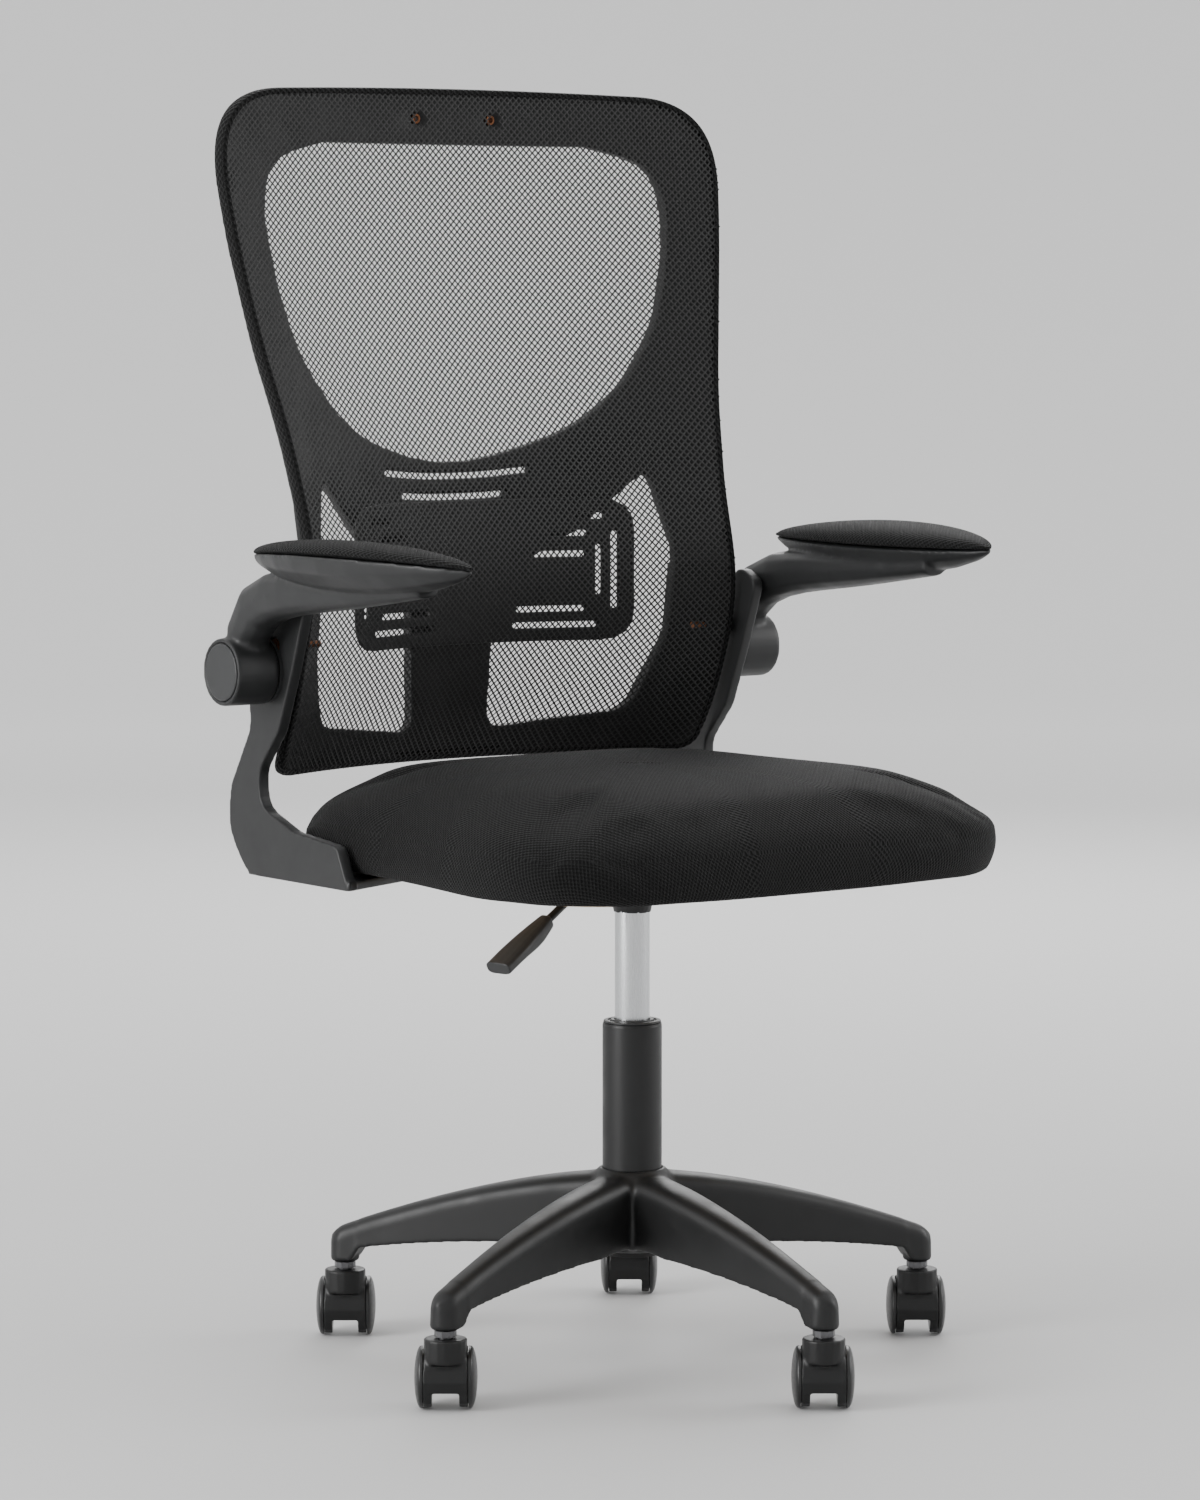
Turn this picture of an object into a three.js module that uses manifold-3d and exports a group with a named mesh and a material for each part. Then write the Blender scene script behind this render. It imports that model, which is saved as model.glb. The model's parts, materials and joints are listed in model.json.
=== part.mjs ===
// A swivel office chair: five-arm base on twin-wheel casters, gas column, upholstered seat,
// flip-up armrests on side brackets, and a curved back frame with a stretched mesh.
// Millimetres, +Z up. The chair faces -Y, and the sitter's left hand is on +X.
import * as THREE from "three";
import { mergeVertices } from "three/addons/utils/BufferGeometryUtils.js";
import Module from "manifold-3d";

const wasm = await Module();
wasm.setup();

// ---------------------------------------------------------------- driving dimensions

const gap = 0.3; // between pieces that rest on or fit in each other

// Base and casters
const legCount = 5;
const stemCircle = 258; // radius of the circle that the caster stems stand on
const wheelRadius = 25;
const casterWidth = 51; // over both wheels
const hoodWidth = 36;
const wheelSpacing = 22; // clear gap between the two wheels
const casterTrail = 11; // from the stem's axis back to the axle
const casterHeading = 54; // degrees from +X: every caster trails this way
const hoodShell = 2.6;
const hoodNeckRadius = 17.5;
const casterTop = 2 * wheelRadius + 9; // height of the neck's rim
const hoodNotchHeight = 16; // the hood's middle ends this far above the floor
const axleRadius = 3;
const stemRadius = 5.5;
const runningClearance = 0.4; // radial, where one piece turns in another
const socketBottom = casterTop + 7; // lower end of each leg's stem socket
const socketRadius = 12;
const legTopAtHub = socketBottom + 93;
const legTopAtEnd = socketBottom + 32;
const legUnderAtHub = socketBottom + 30;
const legUnderAtEnd = socketBottom + 11;
const legWidthAtHub = 44;
const legWidthAtEnd = 25;
const legWall = 3.5;
const hubTop = socketBottom + 96;
const hubBottom = socketBottom + 26;
const hubRadius = 37;

// Gas column
const standTubeRadius = 25;
const standTubeWall = 1.6;
const standTubeLength = 196;
const standTubeBottom = hubBottom - 4;
const standTubeTop = standTubeBottom + standTubeLength;
const pistonTubeRadius = 14.7;
const pistonTubeWall = 1.6;
const pistonTubeLength = 197;
const pistonTubeBottom = standTubeBottom + 112;
const pistonTubeTop = pistonTubeBottom + pistonTubeLength;
const rodRadius = 5;
const releasePinRadius = 3.4;

// Seat
const socketMouth = pistonTubeTop - 20; // lower end of the seat plate's tapered socket
const seatPlateWidth = 100;
const seatPlateDepth = 110;
const seatPlateFloor = pistonTubeTop - 6;
const seatPlateHeight = 21.2;
const flangeLength = 56; // bolt flanges before and behind the plate's pan
const flangeWidth = 150;
const footTop = seatPlateFloor + seatPlateHeight; // plane the seat board rests on
const steelThickness = 2.5;
const socketLip = 0.7; // wall of the socket at its mouth
const boardBottom = footTop + gap;
const boardThickness = 11;
const seatFrontHalfWidth = 250;
const seatHalfDepth = 240;
const seatCentreY = -10;
const seatBulge = boardBottom + 32.5; // height of the widest line of the cushion
const seatCrown = boardBottom + 87.5;
const seatUnderside = boardBottom + 0.5;
const boardInset = 38;

// Height lever, on the sitter's right
const leverTurn = 15; // degrees that the lever points forward of straight sideways
const leverPivot = 40; // from the column's axis to the lever's pivot
const leverRodRadius = 3.5;
const leverSaddleHalf = 2.4; // half the length of the rest that the lever rocks on
const paddleStart = 112;
const paddleEnd = 175;
const leverBend = 60;
const leverSlope = 27.7; // degrees that the outer part of the lever points down

// Side brackets and armrests
const bracketInner = 230; // from the middle plane to the bracket's inner face
const bracketThickness = 10.5;
const footThickness = 8;
const footReach = 118; // from the middle plane to the foot's inner end
const pivotY = 190;
const pivotZ = footTop + 166.8;
const barrelRadius = 28.5;
const ringThickness = 3;
const barrelLength = 40.9;
const barrelStart = bracketInner + bracketThickness + ringThickness + 2 * gap;
const barrelOuter = barrelStart + barrelLength;
const capRadius = 24.4;
const capThickness = 3.5;
const armBoltRadius = 5;
const screwHoleRadius = 3.2;
const bossRadius = 9;
const bossHeight = 6;
const backBoltRadius = 3;
const backBoltReach = 34; // how far its shank passes inside the bracket
const backBoltHeadRadius = 6;
const backBoltHeadHeight = 2.6;
const padRim = pivotZ + 99; // height of the line between the pad and its tray
const padLength = 297;
const padBack = pivotY - 39;
const padFront = padBack - padLength;
const padInnerHalf = 27; // the pad is slimmer on the sitter's side, to pass beside the back
const padOuterHalf = 47;
const padRoll = 8; // degrees that each pad leans in, towards the sitter
const padHeight = 17;
const padBackX = bracketInner + 42;
const padFrontX = bracketInner + 34;
const trayDepth = 27;
const beamX = bracketInner + 32; // the arm beam's middle, sideways

// Back
const backHeight = 582;
const backBottom = footTop + 73.8;
const backTop = backBottom + backHeight;
const backWaist = backBottom + 254; // the back stretches only above this height
const frameThickness = 13;
const meshThickness = 1.2;
const meshLift = 2; // clear gap between the frame's side edges and the mesh
const windowTop = backTop - 48;
const windowBottom = backBottom + 259;
const windowHalfWidth = 210;
const lowerWindowBottom = backBottom + 24;
const spineHalfWidth = 40;
const insertSpacing = 78;
const insertHeight = backTop - 26;
const insertRadius = 4.2;
const backBoltHeight = pivotZ + 21;
const backBoltY = pivotY - 14;
const cutFront = pivotY - 90; // cuts through the back run from here
const cutBack = pivotY + 210; // to here
const farSide = bracketInner + 170; // beyond everything sideways

// Lumbar plate
const lumbarHalfWidth = 147;
const lumbarHeight = 125;
const lumbarCentreZ = backBottom + 164.5;
const lumbarCorner = 28;
const neckZ = lumbarCentreZ - 20; // the neck leaves the plate below its middle
const lumbarThickness = 4;
const lumbarTravel = 20; // up and down from the middle
const lumbarCentreY = pivotY + 46;
const lumbarEdgeY = pivotY + 4;
const neckHalfWidth = 7;
const neckHeight = 24;

// ---------------------------------------------------------------- shape helpers

const degrees = Math.PI / 180;

function solidOf(geometry) {
  const bare = geometry.clone();
  bare.deleteAttribute("normal");
  bare.deleteAttribute("uv");
  const merged = mergeVertices(bare, 1e-3);
  return new wasm.Manifold(
    new wasm.Mesh({
      numProp: 3,
      vertProperties: merged.attributes.position.array,
      triVerts: new Uint32Array(merged.index.array),
    }),
  );
}

function geometryOf(solid) {
  const mesh = solid.getMesh();
  const positions = new Float32Array(mesh.numVert * 3);
  for (let i = 0; i < mesh.numVert; i++) {
    const start = i * mesh.numProp;
    positions.set(mesh.vertProperties.subarray(start, start + 3), i * 3);
  }
  const geometry = new THREE.BufferGeometry();
  geometry.setAttribute("position", new THREE.BufferAttribute(positions, 3));
  geometry.setIndex(new THREE.BufferAttribute(mesh.triVerts, 1));
  geometry.computeVertexNormals();
  return geometry;
}

function cut(body, ...tools) {
  return tools.reduce((left, tool) => left.subtract(tool), body);
}

function joined(...bodies) {
  return bodies.reduce((all, body) => all.add(body));
}

// A cylinder from one point to another
function rod(from, to, radius, segments = 16) {
  const start = new THREE.Vector3(...from);
  const span = new THREE.Vector3(...to).sub(start);
  const geometry = new THREE.CylinderGeometry(radius, radius, span.length(), segments);
  const turn = new THREE.Quaternion().setFromUnitVectors(
    new THREE.Vector3(0, 1, 0),
    span.clone().normalize(),
  );
  geometry.applyQuaternion(turn);
  const middle = start.addScaledVector(span, 0.5);
  geometry.translate(middle.x, middle.y, middle.z);
  return solidOf(geometry);
}

function block(low, high) {
  const size = high.map((value, axis) => value - low[axis]);
  const geometry = new THREE.BoxGeometry(...size);
  geometry.translate(...high.map((value, axis) => (value + low[axis]) / 2));
  return solidOf(geometry);
}

// A body turned about +Z from a profile of [radius, height] points, listed with the
// material on the left of the line
function turned(profile, segments = 20) {
  const points = profile.map(([radius, height]) => new THREE.Vector2(radius, height));
  const geometry = new THREE.LatheGeometry(points, segments);
  geometry.rotateX(Math.PI / 2);
  return solidOf(geometry);
}

function ring(inner, outer, bottom, top, segments = 20) {
  return turned(
    [
      [inner, bottom],
      [outer, bottom],
      [outer, top],
      [inner, top],
      [inner, bottom],
    ],
    segments,
  );
}

function shapeFrom(points) {
  return new THREE.Shape(points.map(([a, b]) => new THREE.Vector2(a, b)));
}

// A closed outline with each corner rounded to its radius: [a, b, radius]
function roundedShape(corners, segments = 4) {
  const points = [];
  corners.forEach(([a, b, radius], i) => {
    const corner = new THREE.Vector2(a, b);
    const before = new THREE.Vector2(...corners.at(i - 1).slice(0, 2)).sub(corner);
    const after = new THREE.Vector2(...corners[(i + 1) % corners.length].slice(0, 2)).sub(corner);
    const half = Math.abs(before.angleTo(after)) / 2;
    const reach = Math.min(radius / Math.tan(half), before.length() / 2, after.length() / 2);
    if (reach < gap) {
      points.push(corner);
      return;
    }
    const first = corner.clone().addScaledVector(before.normalize(), reach);
    const last = corner.clone().addScaledVector(after.normalize(), reach);
    const bend = new THREE.QuadraticBezierCurve(first, corner, last);
    points.push(...bend.getPoints(segments));
  });
  return new THREE.Shape(points);
}

function plainExtrusion(shape, depth) {
  return new THREE.ExtrudeGeometry(shape, { depth, bevelEnabled: false, curveSegments: 6 });
}

// A shape drawn in X and Y, raised from one height to another
function raised(shape, bottom, top) {
  const geometry = plainExtrusion(shape, top - bottom);
  geometry.translate(0, 0, bottom);
  return solidOf(geometry);
}

// A shape drawn in X and Z, running from front to back
function runAlongY(shape, front, back) {
  const geometry = plainExtrusion(shape, back - front);
  geometry.rotateX(Math.PI / 2);
  geometry.translate(0, back, 0);
  return solidOf(geometry);
}

// A shape drawn in Y and Z, running sideways
function runAlongX(shape, from, to) {
  const geometry = plainExtrusion(shape, to - from);
  const yAxis = new THREE.Vector3(0, 1, 0);
  const zAxis = new THREE.Vector3(0, 0, 1);
  const xAxis = new THREE.Vector3(1, 0, 0);
  geometry.applyMatrix4(new THREE.Matrix4().makeBasis(yAxis, zAxis, xAxis));
  geometry.translate(from, 0, 0);
  return solidOf(geometry);
}

// A closed body made of sections: a point (u, v) of the unit disc at station t
// goes to place(u, v, t)
function lofted(around, stations, place) {
  const geometry = new THREE.CylinderGeometry(1, 1, 1, around, stations);
  const position = geometry.attributes.position;
  for (let i = 0; i < position.count; i++) {
    const t = position.getY(i) + 0.5;
    position.setXYZ(i, ...place(position.getX(i), position.getZ(i), t));
  }
  return solidOf(geometry);
}

// Pulls a coordinate of a round section towards a square one
function squared(value, power) {
  return Math.sign(value) * Math.abs(value) ** power;
}

function along(from, to, t) {
  return from + (to - from) * t;
}

// A smooth curve through hand-set points, read as a value for each key
function smoothRule(pairs) {
  const keys = pairs.map(([key]) => key);
  const values = pairs.map(([, value]) => value);
  const last = pairs.length - 1;
  const slope = (i) => {
    const before = Math.max(i - 1, 0);
    const after = Math.min(i + 1, last);
    return (values[after] - values[before]) / (keys[after] - keys[before]);
  };
  return (key) => {
    const held = Math.min(Math.max(key, keys[0]), keys[last]);
    const next = Math.min(Math.max(keys.findIndex((k) => k >= held), 1), last);
    const span = keys[next] - keys[next - 1];
    const s = (held - keys[next - 1]) / span;
    return (
      values[next - 1] * (2 * s ** 3 - 3 * s ** 2 + 1) +
      slope(next - 1) * span * (s ** 3 - 2 * s ** 2 + s) +
      values[next] * (3 * s ** 2 - 2 * s ** 3) +
      slope(next) * span * (s ** 3 - s ** 2)
    );
  };
}

// ---------------------------------------------------------------- colours and finishes

function finish(color, roughness, metalness = 0) {
  return new THREE.MeshStandardMaterial({ color, roughness, metalness });
}

const nylon = () => finish(0x1c1d1f, 0.5);
const hardPlastic = () => finish(0x17181a, 0.42);
const paintedSteel = () => finish(0x1b1b1d, 0.45, 0.3);
const chrome = () => finish(0xc9ccd0, 0.2, 1);
const steel = () => finish(0x9a9ca0, 0.35, 1);
const brass = () => finish(0x8a5a35, 0.4, 1);
const fabric = () => finish(0x121214, 0.95);
const plywood = () => finish(0xb08a5a, 0.8);
const tread = () => finish(0x161617, 0.6);

function node(name, solid, material) {
  const mesh = new THREE.Mesh(geometryOf(solid), material);
  mesh.name = name;
  return mesh;
}

// ---------------------------------------------------------------- base

function legBody(around, side, top, under, from, to) {
  return lofted(around, 4, (u, v, t) => {
    const radius = along(from, to, t);
    const share = Math.max(radius, 0) / stemCircle;
    const arch = share ** 1.6;
    const halfWidth = along(legWidthAtHub, legWidthAtEnd, Math.min(share * 1.15, 1)) / 2 - side;
    const high = along(legTopAtHub, legTopAtEnd, arch) - top;
    const low = along(legUnderAtHub, legUnderAtEnd, share ** 2.4) - under;
    const middle = (high + low) / 2;
    return [
      radius,
      -squared(u, 0.6) * halfWidth,
      middle + (squared(v, 0.6) * (high - low)) / 2,
    ];
  });
}

function baseLeg() {
  const end = stemCircle + socketRadius;
  const outside = legBody(12, 0, 0, 0, hubRadius / 3, end);
  const hollowEnd = stemCircle - socketRadius - 6;
  const hollow = legBody(8, legWall, legWall, 30, hubRadius + 8, hollowEnd);
  const ribRadius = stemCircle * 0.52;
  const rib = block([ribRadius, -legWidthAtHub, 0], [ribRadius + legWall, legWidthAtHub, hubTop]);
  const roof = along(legTopAtHub, legTopAtEnd, 0.97) - 4;
  const socket = rod([stemCircle, 0, socketBottom], [stemCircle, 0, roof], socketRadius, 14);
  const stemHole = rod(
    [stemCircle, 0, socketBottom - 1],
    [stemCircle, 0, roof - legWall],
    stemRadius + gap,
    10,
  );
  return cut(joined(outside, socket), cut(hollow, rib), stemHole);
}

function baseStar() {
  const bore = standTubeRadius + gap;
  const hub = turned([
    [bore - 6, hubBottom],
    [hubRadius, hubBottom],
    [hubRadius, hubTop - 26],
    [bore + 3, hubTop - 3],
    [bore + 1.5, hubTop],
    [bore - 6, hubTop],
    [bore - 6, hubBottom],
  ]);
  const leg = baseLeg();
  const legs = [...Array(legCount).keys()].map((i) => leg.rotate([0, 0, legAngle(i)]));
  const hole = rod([0, 0, hubBottom - 30], [0, 0, hubTop + 20], bore, 20);
  return joined(hub, ...legs).subtract(hole);
}

// One leg points straight ahead, under the sitter's knees
function legAngle(i) {
  return -90 + (360 / legCount) * i;
}

// ---------------------------------------------------------------- casters

// In a caster's own frame the stem's axis is +Z, the caster trails towards +X and the axle
// runs along Y.
function casterHood() {
  const half = hoodWidth / 2;
  const inner = wheelRadius - hoodShell;
  const outer = wheelRadius + 0.8;
  const web = wheelSpacing / 2 - runningClearance;
  const axis = [casterTrail, wheelRadius];
  const barrel = (radius, width, segments = 16) =>
    rod([axis[0], -width, axis[1]], [axis[0], width, axis[1]], radius, segments);
  const shell = barrel(outer, half).subtract(barrel(inner, half + 1));
  const middle = barrel(inner + 1, web);
  const openSide = block([casterTrail, -half - 1, -10], [100, half + 1, wheelRadius + 6]);
  const skirtEnd = block([-100, -half - 1, -10], [100, half + 1, 3]);
  const notch = block([-100, -wheelSpacing / 2, -10], [100, wheelSpacing / 2, hoodNotchHeight]);
  const neck = rod([0, 0, wheelRadius + 14], [0, 0, casterTop], hoodNeckRadius, 16);
  const wheelRoom = barrel(inner, half + 1).subtract(barrel(inner, web));
  const stemHole = rod([0, 0, wheelRadius - 1], [0, 0, 100], stemRadius + runningClearance, 10);
  const axleHole = barrel(axleRadius + gap, half + 2, 10);
  return cut(
    joined(shell, middle, neck),
    openSide,
    skirtEnd,
    notch,
    wheelRoom,
    stemHole,
    axleHole,
  );
}

function casterStem() {
  const flange = stemRadius + 3.5;
  return turned(
    [
      [0, wheelRadius + 1],
      [stemRadius - 1, wheelRadius + 1],
      [stemRadius, wheelRadius + 2],
      [stemRadius, casterTop + 1.5],
      [flange, casterTop + 1.5],
      [flange, socketBottom - gap * 2],
      [stemRadius, socketBottom - gap * 2],
      [stemRadius, legTopAtEnd - 10],
      [0, legTopAtEnd - 10],
    ],
    10,
  );
}

// A wheel on +Y: a narrow hub under the hood and a wide tread with a domed outer face
function casterWheel() {
  const inside = wheelSpacing / 2 + runningClearance;
  const outside = casterWidth / 2;
  const step = hoodWidth / 2 + runningClearance;
  const hubFlange = wheelRadius - hoodShell - runningClearance * 2;
  const bore = axleRadius + runningClearance;
  const boreEnd = outside - 5.5;
  const dome = [0, 0.55].map((share) => [
    wheelRadius * Math.cos((share * Math.PI) / 2) * 0.96,
    along(outside - 5, outside, Math.sin((share * Math.PI) / 2)),
  ]);
  const wheel = turned(
    [
      [0, boreEnd],
      [bore, boreEnd],
      [bore, inside],
      [hubFlange, inside],
      [hubFlange, step],
      [wheelRadius, step],
      [wheelRadius, outside - 6],
      ...dome,
      [0, outside],
    ],
    16,
  );
  return wheel.rotate([-90, 0, 0]).translate([casterTrail, 0, wheelRadius]);
}

function casterAxle() {
  const half = casterWidth / 2 - 7;
  return rod(
    [casterTrail, -half, wheelRadius],
    [casterTrail, half, wheelRadius],
    axleRadius,
    10,
  );
}

function caster(i) {
  const group = new THREE.Group();
  const angle = legAngle(i) * degrees;
  group.position.set(stemCircle * Math.cos(angle), stemCircle * Math.sin(angle), 0);
  group.rotation.z = casterHeading * degrees;
  const wheel = casterWheel();
  group.add(
    node(`caster_stem_${i + 1}`, casterStem(), steel()),
    node(`caster_hood_${i + 1}`, casterHood(), nylon()),
    node(`caster_axle_${i + 1}`, casterAxle(), steel()),
    node(`caster_wheel_a_${i + 1}`, wheel, tread()),
    node(`caster_wheel_b_${i + 1}`, wheel.mirror([0, 1, 0]), tread()),
  );
  return group;
}

// ---------------------------------------------------------------- gas column

function standTube() {
  const inner = standTubeRadius - standTubeWall;
  const plate = standTubeBottom + 6;
  return turned([
    [rodRadius + 1.5, plate],
    [inner, plate],
    [inner, standTubeBottom],
    [standTubeRadius - 1, standTubeBottom],
    [standTubeRadius, standTubeBottom + 6],
    [standTubeRadius, standTubeTop],
    [inner, standTubeTop],
    [inner, plate + 3],
    [rodRadius + 1.5, plate + 3],
    [rodRadius + 1.5, plate],
  ]);
}

function guideBushing() {
  const inner = pistonTubeRadius + runningClearance;
  const outer = standTubeRadius - standTubeWall - gap;
  const rim = standTubeTop + gap;
  return turned([
    [inner, standTubeTop - 58],
    [outer, standTubeTop - 58],
    [outer, rim],
    [standTubeRadius - 0.8, rim],
    [standTubeRadius - 0.8, rim + 1.6],
    [outer - 3, rim + 2.6],
    [inner, rim + 2.6],
    [inner, standTubeTop - 58],
  ]);
}

function thrustBearing() {
  const seat = standTubeBottom + 9 + gap;
  return ring(rodRadius + runningClearance, rodRadius + 9, seat, seat + 6, 20);
}

function retainingClip() {
  const below = standTubeBottom + 6 - gap;
  const clip = ring(rodRadius - 1 + gap, rodRadius + 5, below - 1.5, below, 20);
  const mouth = block([0, -2.5, below - 5], [rodRadius + 10, 2.5, below + 5]);
  return clip.subtract(mouth);
}

function gasRod() {
  const groove = standTubeBottom + 6 - gap;
  const piston = pistonTubeBottom + 24;
  return turned(
    [
      [0, standTubeBottom + 1],
      [rodRadius - 1, standTubeBottom + 1],
      [rodRadius, standTubeBottom + 2],
      [rodRadius, groove - 1.5 - gap],
      [rodRadius - 1, groove - 1.5 - gap],
      [rodRadius - 1, groove + gap],
      [rodRadius, groove + gap],
      [rodRadius, piston],
      [pistonTubeRadius - pistonTubeWall - gap, piston],
      [pistonTubeRadius - pistonTubeWall - gap, piston + 10],
      [0, piston + 10],
    ],
    16,
  );
}

function rodGuide() {
  const outer = pistonTubeRadius - pistonTubeWall - gap;
  return ring(rodRadius + runningClearance, outer, pistonTubeBottom + 2, pistonTubeBottom + 15, 16);
}

// The cylinder's top is slightly tapered where the seat plate's socket grips it
function pistonTube() {
  const inner = pistonTubeRadius - pistonTubeWall;
  const taper = 0.7;
  return turned([
    [inner, pistonTubeBottom],
    [pistonTubeRadius, pistonTubeBottom],
    [pistonTubeRadius, socketMouth],
    [pistonTubeRadius - taper, pistonTubeTop],
    [releasePinRadius + gap, pistonTubeTop],
    [releasePinRadius + gap, pistonTubeTop - 6],
    [inner, pistonTubeTop - 6],
    [inner, pistonTubeBottom],
  ]);
}

function releasePin() {
  const foot = pistonTubeTop - 12;
  return turned(
    [
      [0, foot],
      [releasePinRadius + 2, foot],
      [releasePinRadius + 2, foot + 4],
      [releasePinRadius, foot + 4],
      [releasePinRadius, leverHeight() - leverRodRadius - 2],
      [1.2, leverHeight() - leverRodRadius - gap * 2],
      [0, leverHeight() - leverRodRadius - gap * 2],
    ],
    12,
  );
}

// ---------------------------------------------------------------- seat

// Height of the lever's inner arm, just under the seat board
function leverHeight() {
  return boardBottom - leverRodRadius - 1.2;
}

function leverDirection() {
  return [-Math.cos(leverTurn * degrees), -Math.sin(leverTurn * degrees)];
}

function leverPoint(reach, height) {
  const [x, y] = leverDirection();
  return new THREE.Vector3(x * reach, y * reach, height);
}

function leverHeightAt(reach) {
  const past = Math.max(reach - leverBend, 0);
  return leverHeight() - past * Math.tan(leverSlope * degrees);
}

function seatPlate() {
  const halfWidth = seatPlateWidth / 2;
  const halfDepth = seatPlateDepth / 2;
  const top = footTop;
  const pan = block([-halfWidth, -halfDepth, seatPlateFloor], [halfWidth, halfDepth, top]);
  const inside = block(
    [steelThickness - halfWidth, steelThickness - halfDepth, seatPlateFloor + steelThickness],
    [halfWidth - steelThickness, halfDepth - steelThickness, top + 5],
  );
  const flangeHalf = flangeWidth / 2;
  const flangeEnd = halfDepth + flangeLength;
  const flangeStart = halfDepth - 1;
  const flanges = [-1, 1].map((end) =>
    block(
      [-flangeHalf, Math.min(end * flangeStart, end * flangeEnd), top - steelThickness],
      [flangeHalf, Math.max(end * flangeStart, end * flangeEnd), top],
    ),
  );
  const bore = pistonTubeRadius + gap;
  const socket = turned([
    [bore, socketMouth],
    [bore + socketLip, socketMouth],
    [bore + 3, seatPlateFloor],
    [bore + 3, pistonTubeTop - 1],
    [bore - 0.4, pistonTubeTop - 1],
    [bore, socketMouth],
  ]);
  const socketHole = rod([0, 0, seatPlateFloor - 5], [0, 0, seatPlateFloor + 5], bore + 1);
  const saddleTop = leverHeight() - leverRodRadius - gap;
  const saddle = block(
    [-leverSaddleHalf, -9, seatPlateFloor],
    [leverSaddleHalf, 9, saddleTop],
  )
    .translate([-leverPivot, 0, 0])
    .rotate([0, 0, leverTurn]);
  const leverNotch = block([-halfWidth - 20, -8, saddleTop - 8], [5 - halfWidth, 8, top + 1]);
  const bolts = [-1, 1].flatMap((sideX) =>
    [-1, 1].map((sideY) => {
      const x = sideX * (flangeHalf - 14);
      const y = sideY * (flangeEnd - 8);
      return rod([x, y, seatPlateFloor], [x, y, top + 5], 3.2, 10);
    }),
  );
  return cut(
    joined(pan.subtract(inside).subtract(socketHole), socket, saddle, ...flanges),
    leverNotch.rotate([0, 0, leverTurn]),
    ...bolts,
  );
}

function leverRod() {
  const path = new THREE.CurvePath();
  const inner = leverPoint(-6, leverHeight());
  const bendIn = leverPoint(leverBend - 10, leverHeight());
  const bend = leverPoint(leverBend, leverHeight());
  const bendOut = leverPoint(leverBend + 10, leverHeightAt(leverBend + 10));
  const outer = leverPoint(paddleStart + 26, leverHeightAt(paddleStart + 26));
  path.add(new THREE.LineCurve3(inner, bendIn));
  path.add(new THREE.QuadraticBezierCurve3(bendIn, bend, bendOut));
  path.add(new THREE.LineCurve3(bendOut, outer));
  const section = new THREE.Shape();
  section.absarc(0, 0, leverRodRadius, 0, Math.PI * 2);
  const geometry = new THREE.ExtrudeGeometry(section, {
    extrudePath: path,
    steps: 16,
    curveSegments: 5,
  });
  return solidOf(geometry);
}

// A flat handle that widens towards its end, with a finger hollow under it
function leverPaddle() {
  const halfWidth = smoothRule([[0, 6], [0.25, 9], [0.7, 12], [1, 12.5]]);
  const above = smoothRule([[0, 6], [0.5, 6.5], [1, 5.5]]);
  const below = smoothRule([[0, 6], [0.3, 9], [0.7, 6], [1, 5.5]]);
  const length = (paddleEnd - paddleStart) / Math.cos(leverSlope * degrees);
  const body = lofted(16, 8, (u, v, t) => [
    t * length,
    -squared(u, 0.6) * halfWidth(t),
    squared(v, 0.6) * (v > 0 ? above(t) : below(t)),
  ]);
  const boreEnd = 28 / Math.cos(leverSlope * degrees);
  const bore = rod([-2, 0, 0], [boreEnd, 0, 0], leverRodRadius + gap);
  const [x, y, z] = leverPoint(paddleStart, leverHeightAt(paddleStart)).toArray();
  return body
    .subtract(bore)
    .rotate([0, leverSlope, 0])
    .rotate([0, 0, 180 + leverTurn])
    .translate([x, y, z]);
}

// Half the seat's width: it narrows behind its middle to fit between the brackets
function seatHalfWidthAt(y) {
  const t = Math.min(Math.max((y + 170) / 220, 0), 1);
  const ease = t * t * (3 - 2 * t);
  return along(seatFrontHalfWidth, bracketInner - 1.5, ease);
}

// A point of the seat's rounded plan: direction in degrees, shrunk by an inset
function seatPlanPoint(direction, inset) {
  const squareness = 0.44;
  const across = squared(Math.cos(direction), squareness);
  const ahead = squared(Math.sin(direction), squareness);
  const y = ahead * (seatHalfDepth - inset);
  return [across * (seatHalfWidthAt(y + seatCentreY) - inset), y + seatCentreY];
}

function seatBoard() {
  const points = [...Array(40).keys()].map((i) =>
    seatPlanPoint((i / 40) * Math.PI * 2 + 0.01, boardInset),
  );
  return raised(shapeFrom(points), boardBottom, boardBottom + boardThickness);
}

function seatCushion() {
  const geometry = new THREE.SphereGeometry(1, 32, 12);
  geometry.rotateX(Math.PI / 2);
  const position = geometry.attributes.position;
  for (let i = 0; i < position.count; i++) {
    const [a, b, c] = [position.getX(i), position.getY(i), position.getZ(i)];
    const share = Math.min(Math.hypot(a, b), 1);
    const [edgeX, edgeY] = seatPlanPoint(Math.atan2(b, a), 0);
    const rise = Math.sqrt(Math.max(1 - share ** 4, 0));
    const drop = Math.sqrt(Math.max(1 - share ** 12, 0));
    const z =
      c > 0
        ? seatBulge + (seatCrown - seatBulge) * rise
        : seatBulge - (seatBulge - seatUnderside) * drop;
    position.setXYZ(i, edgeX * share, along(seatCentreY, edgeY, share), z);
  }
  const pocketPlan = [...Array(40).keys()].map((i) =>
    seatPlanPoint((i / 40) * Math.PI * 2 + 0.01, boardInset - 1),
  );
  const pocketTop = boardBottom + boardThickness + gap;
  const pocket = raised(shapeFrom(pocketPlan), boardBottom - 10, pocketTop);
  return solidOf(geometry).subtract(pocket);
}

// ---------------------------------------------------------------- side brackets and armrests

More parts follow.
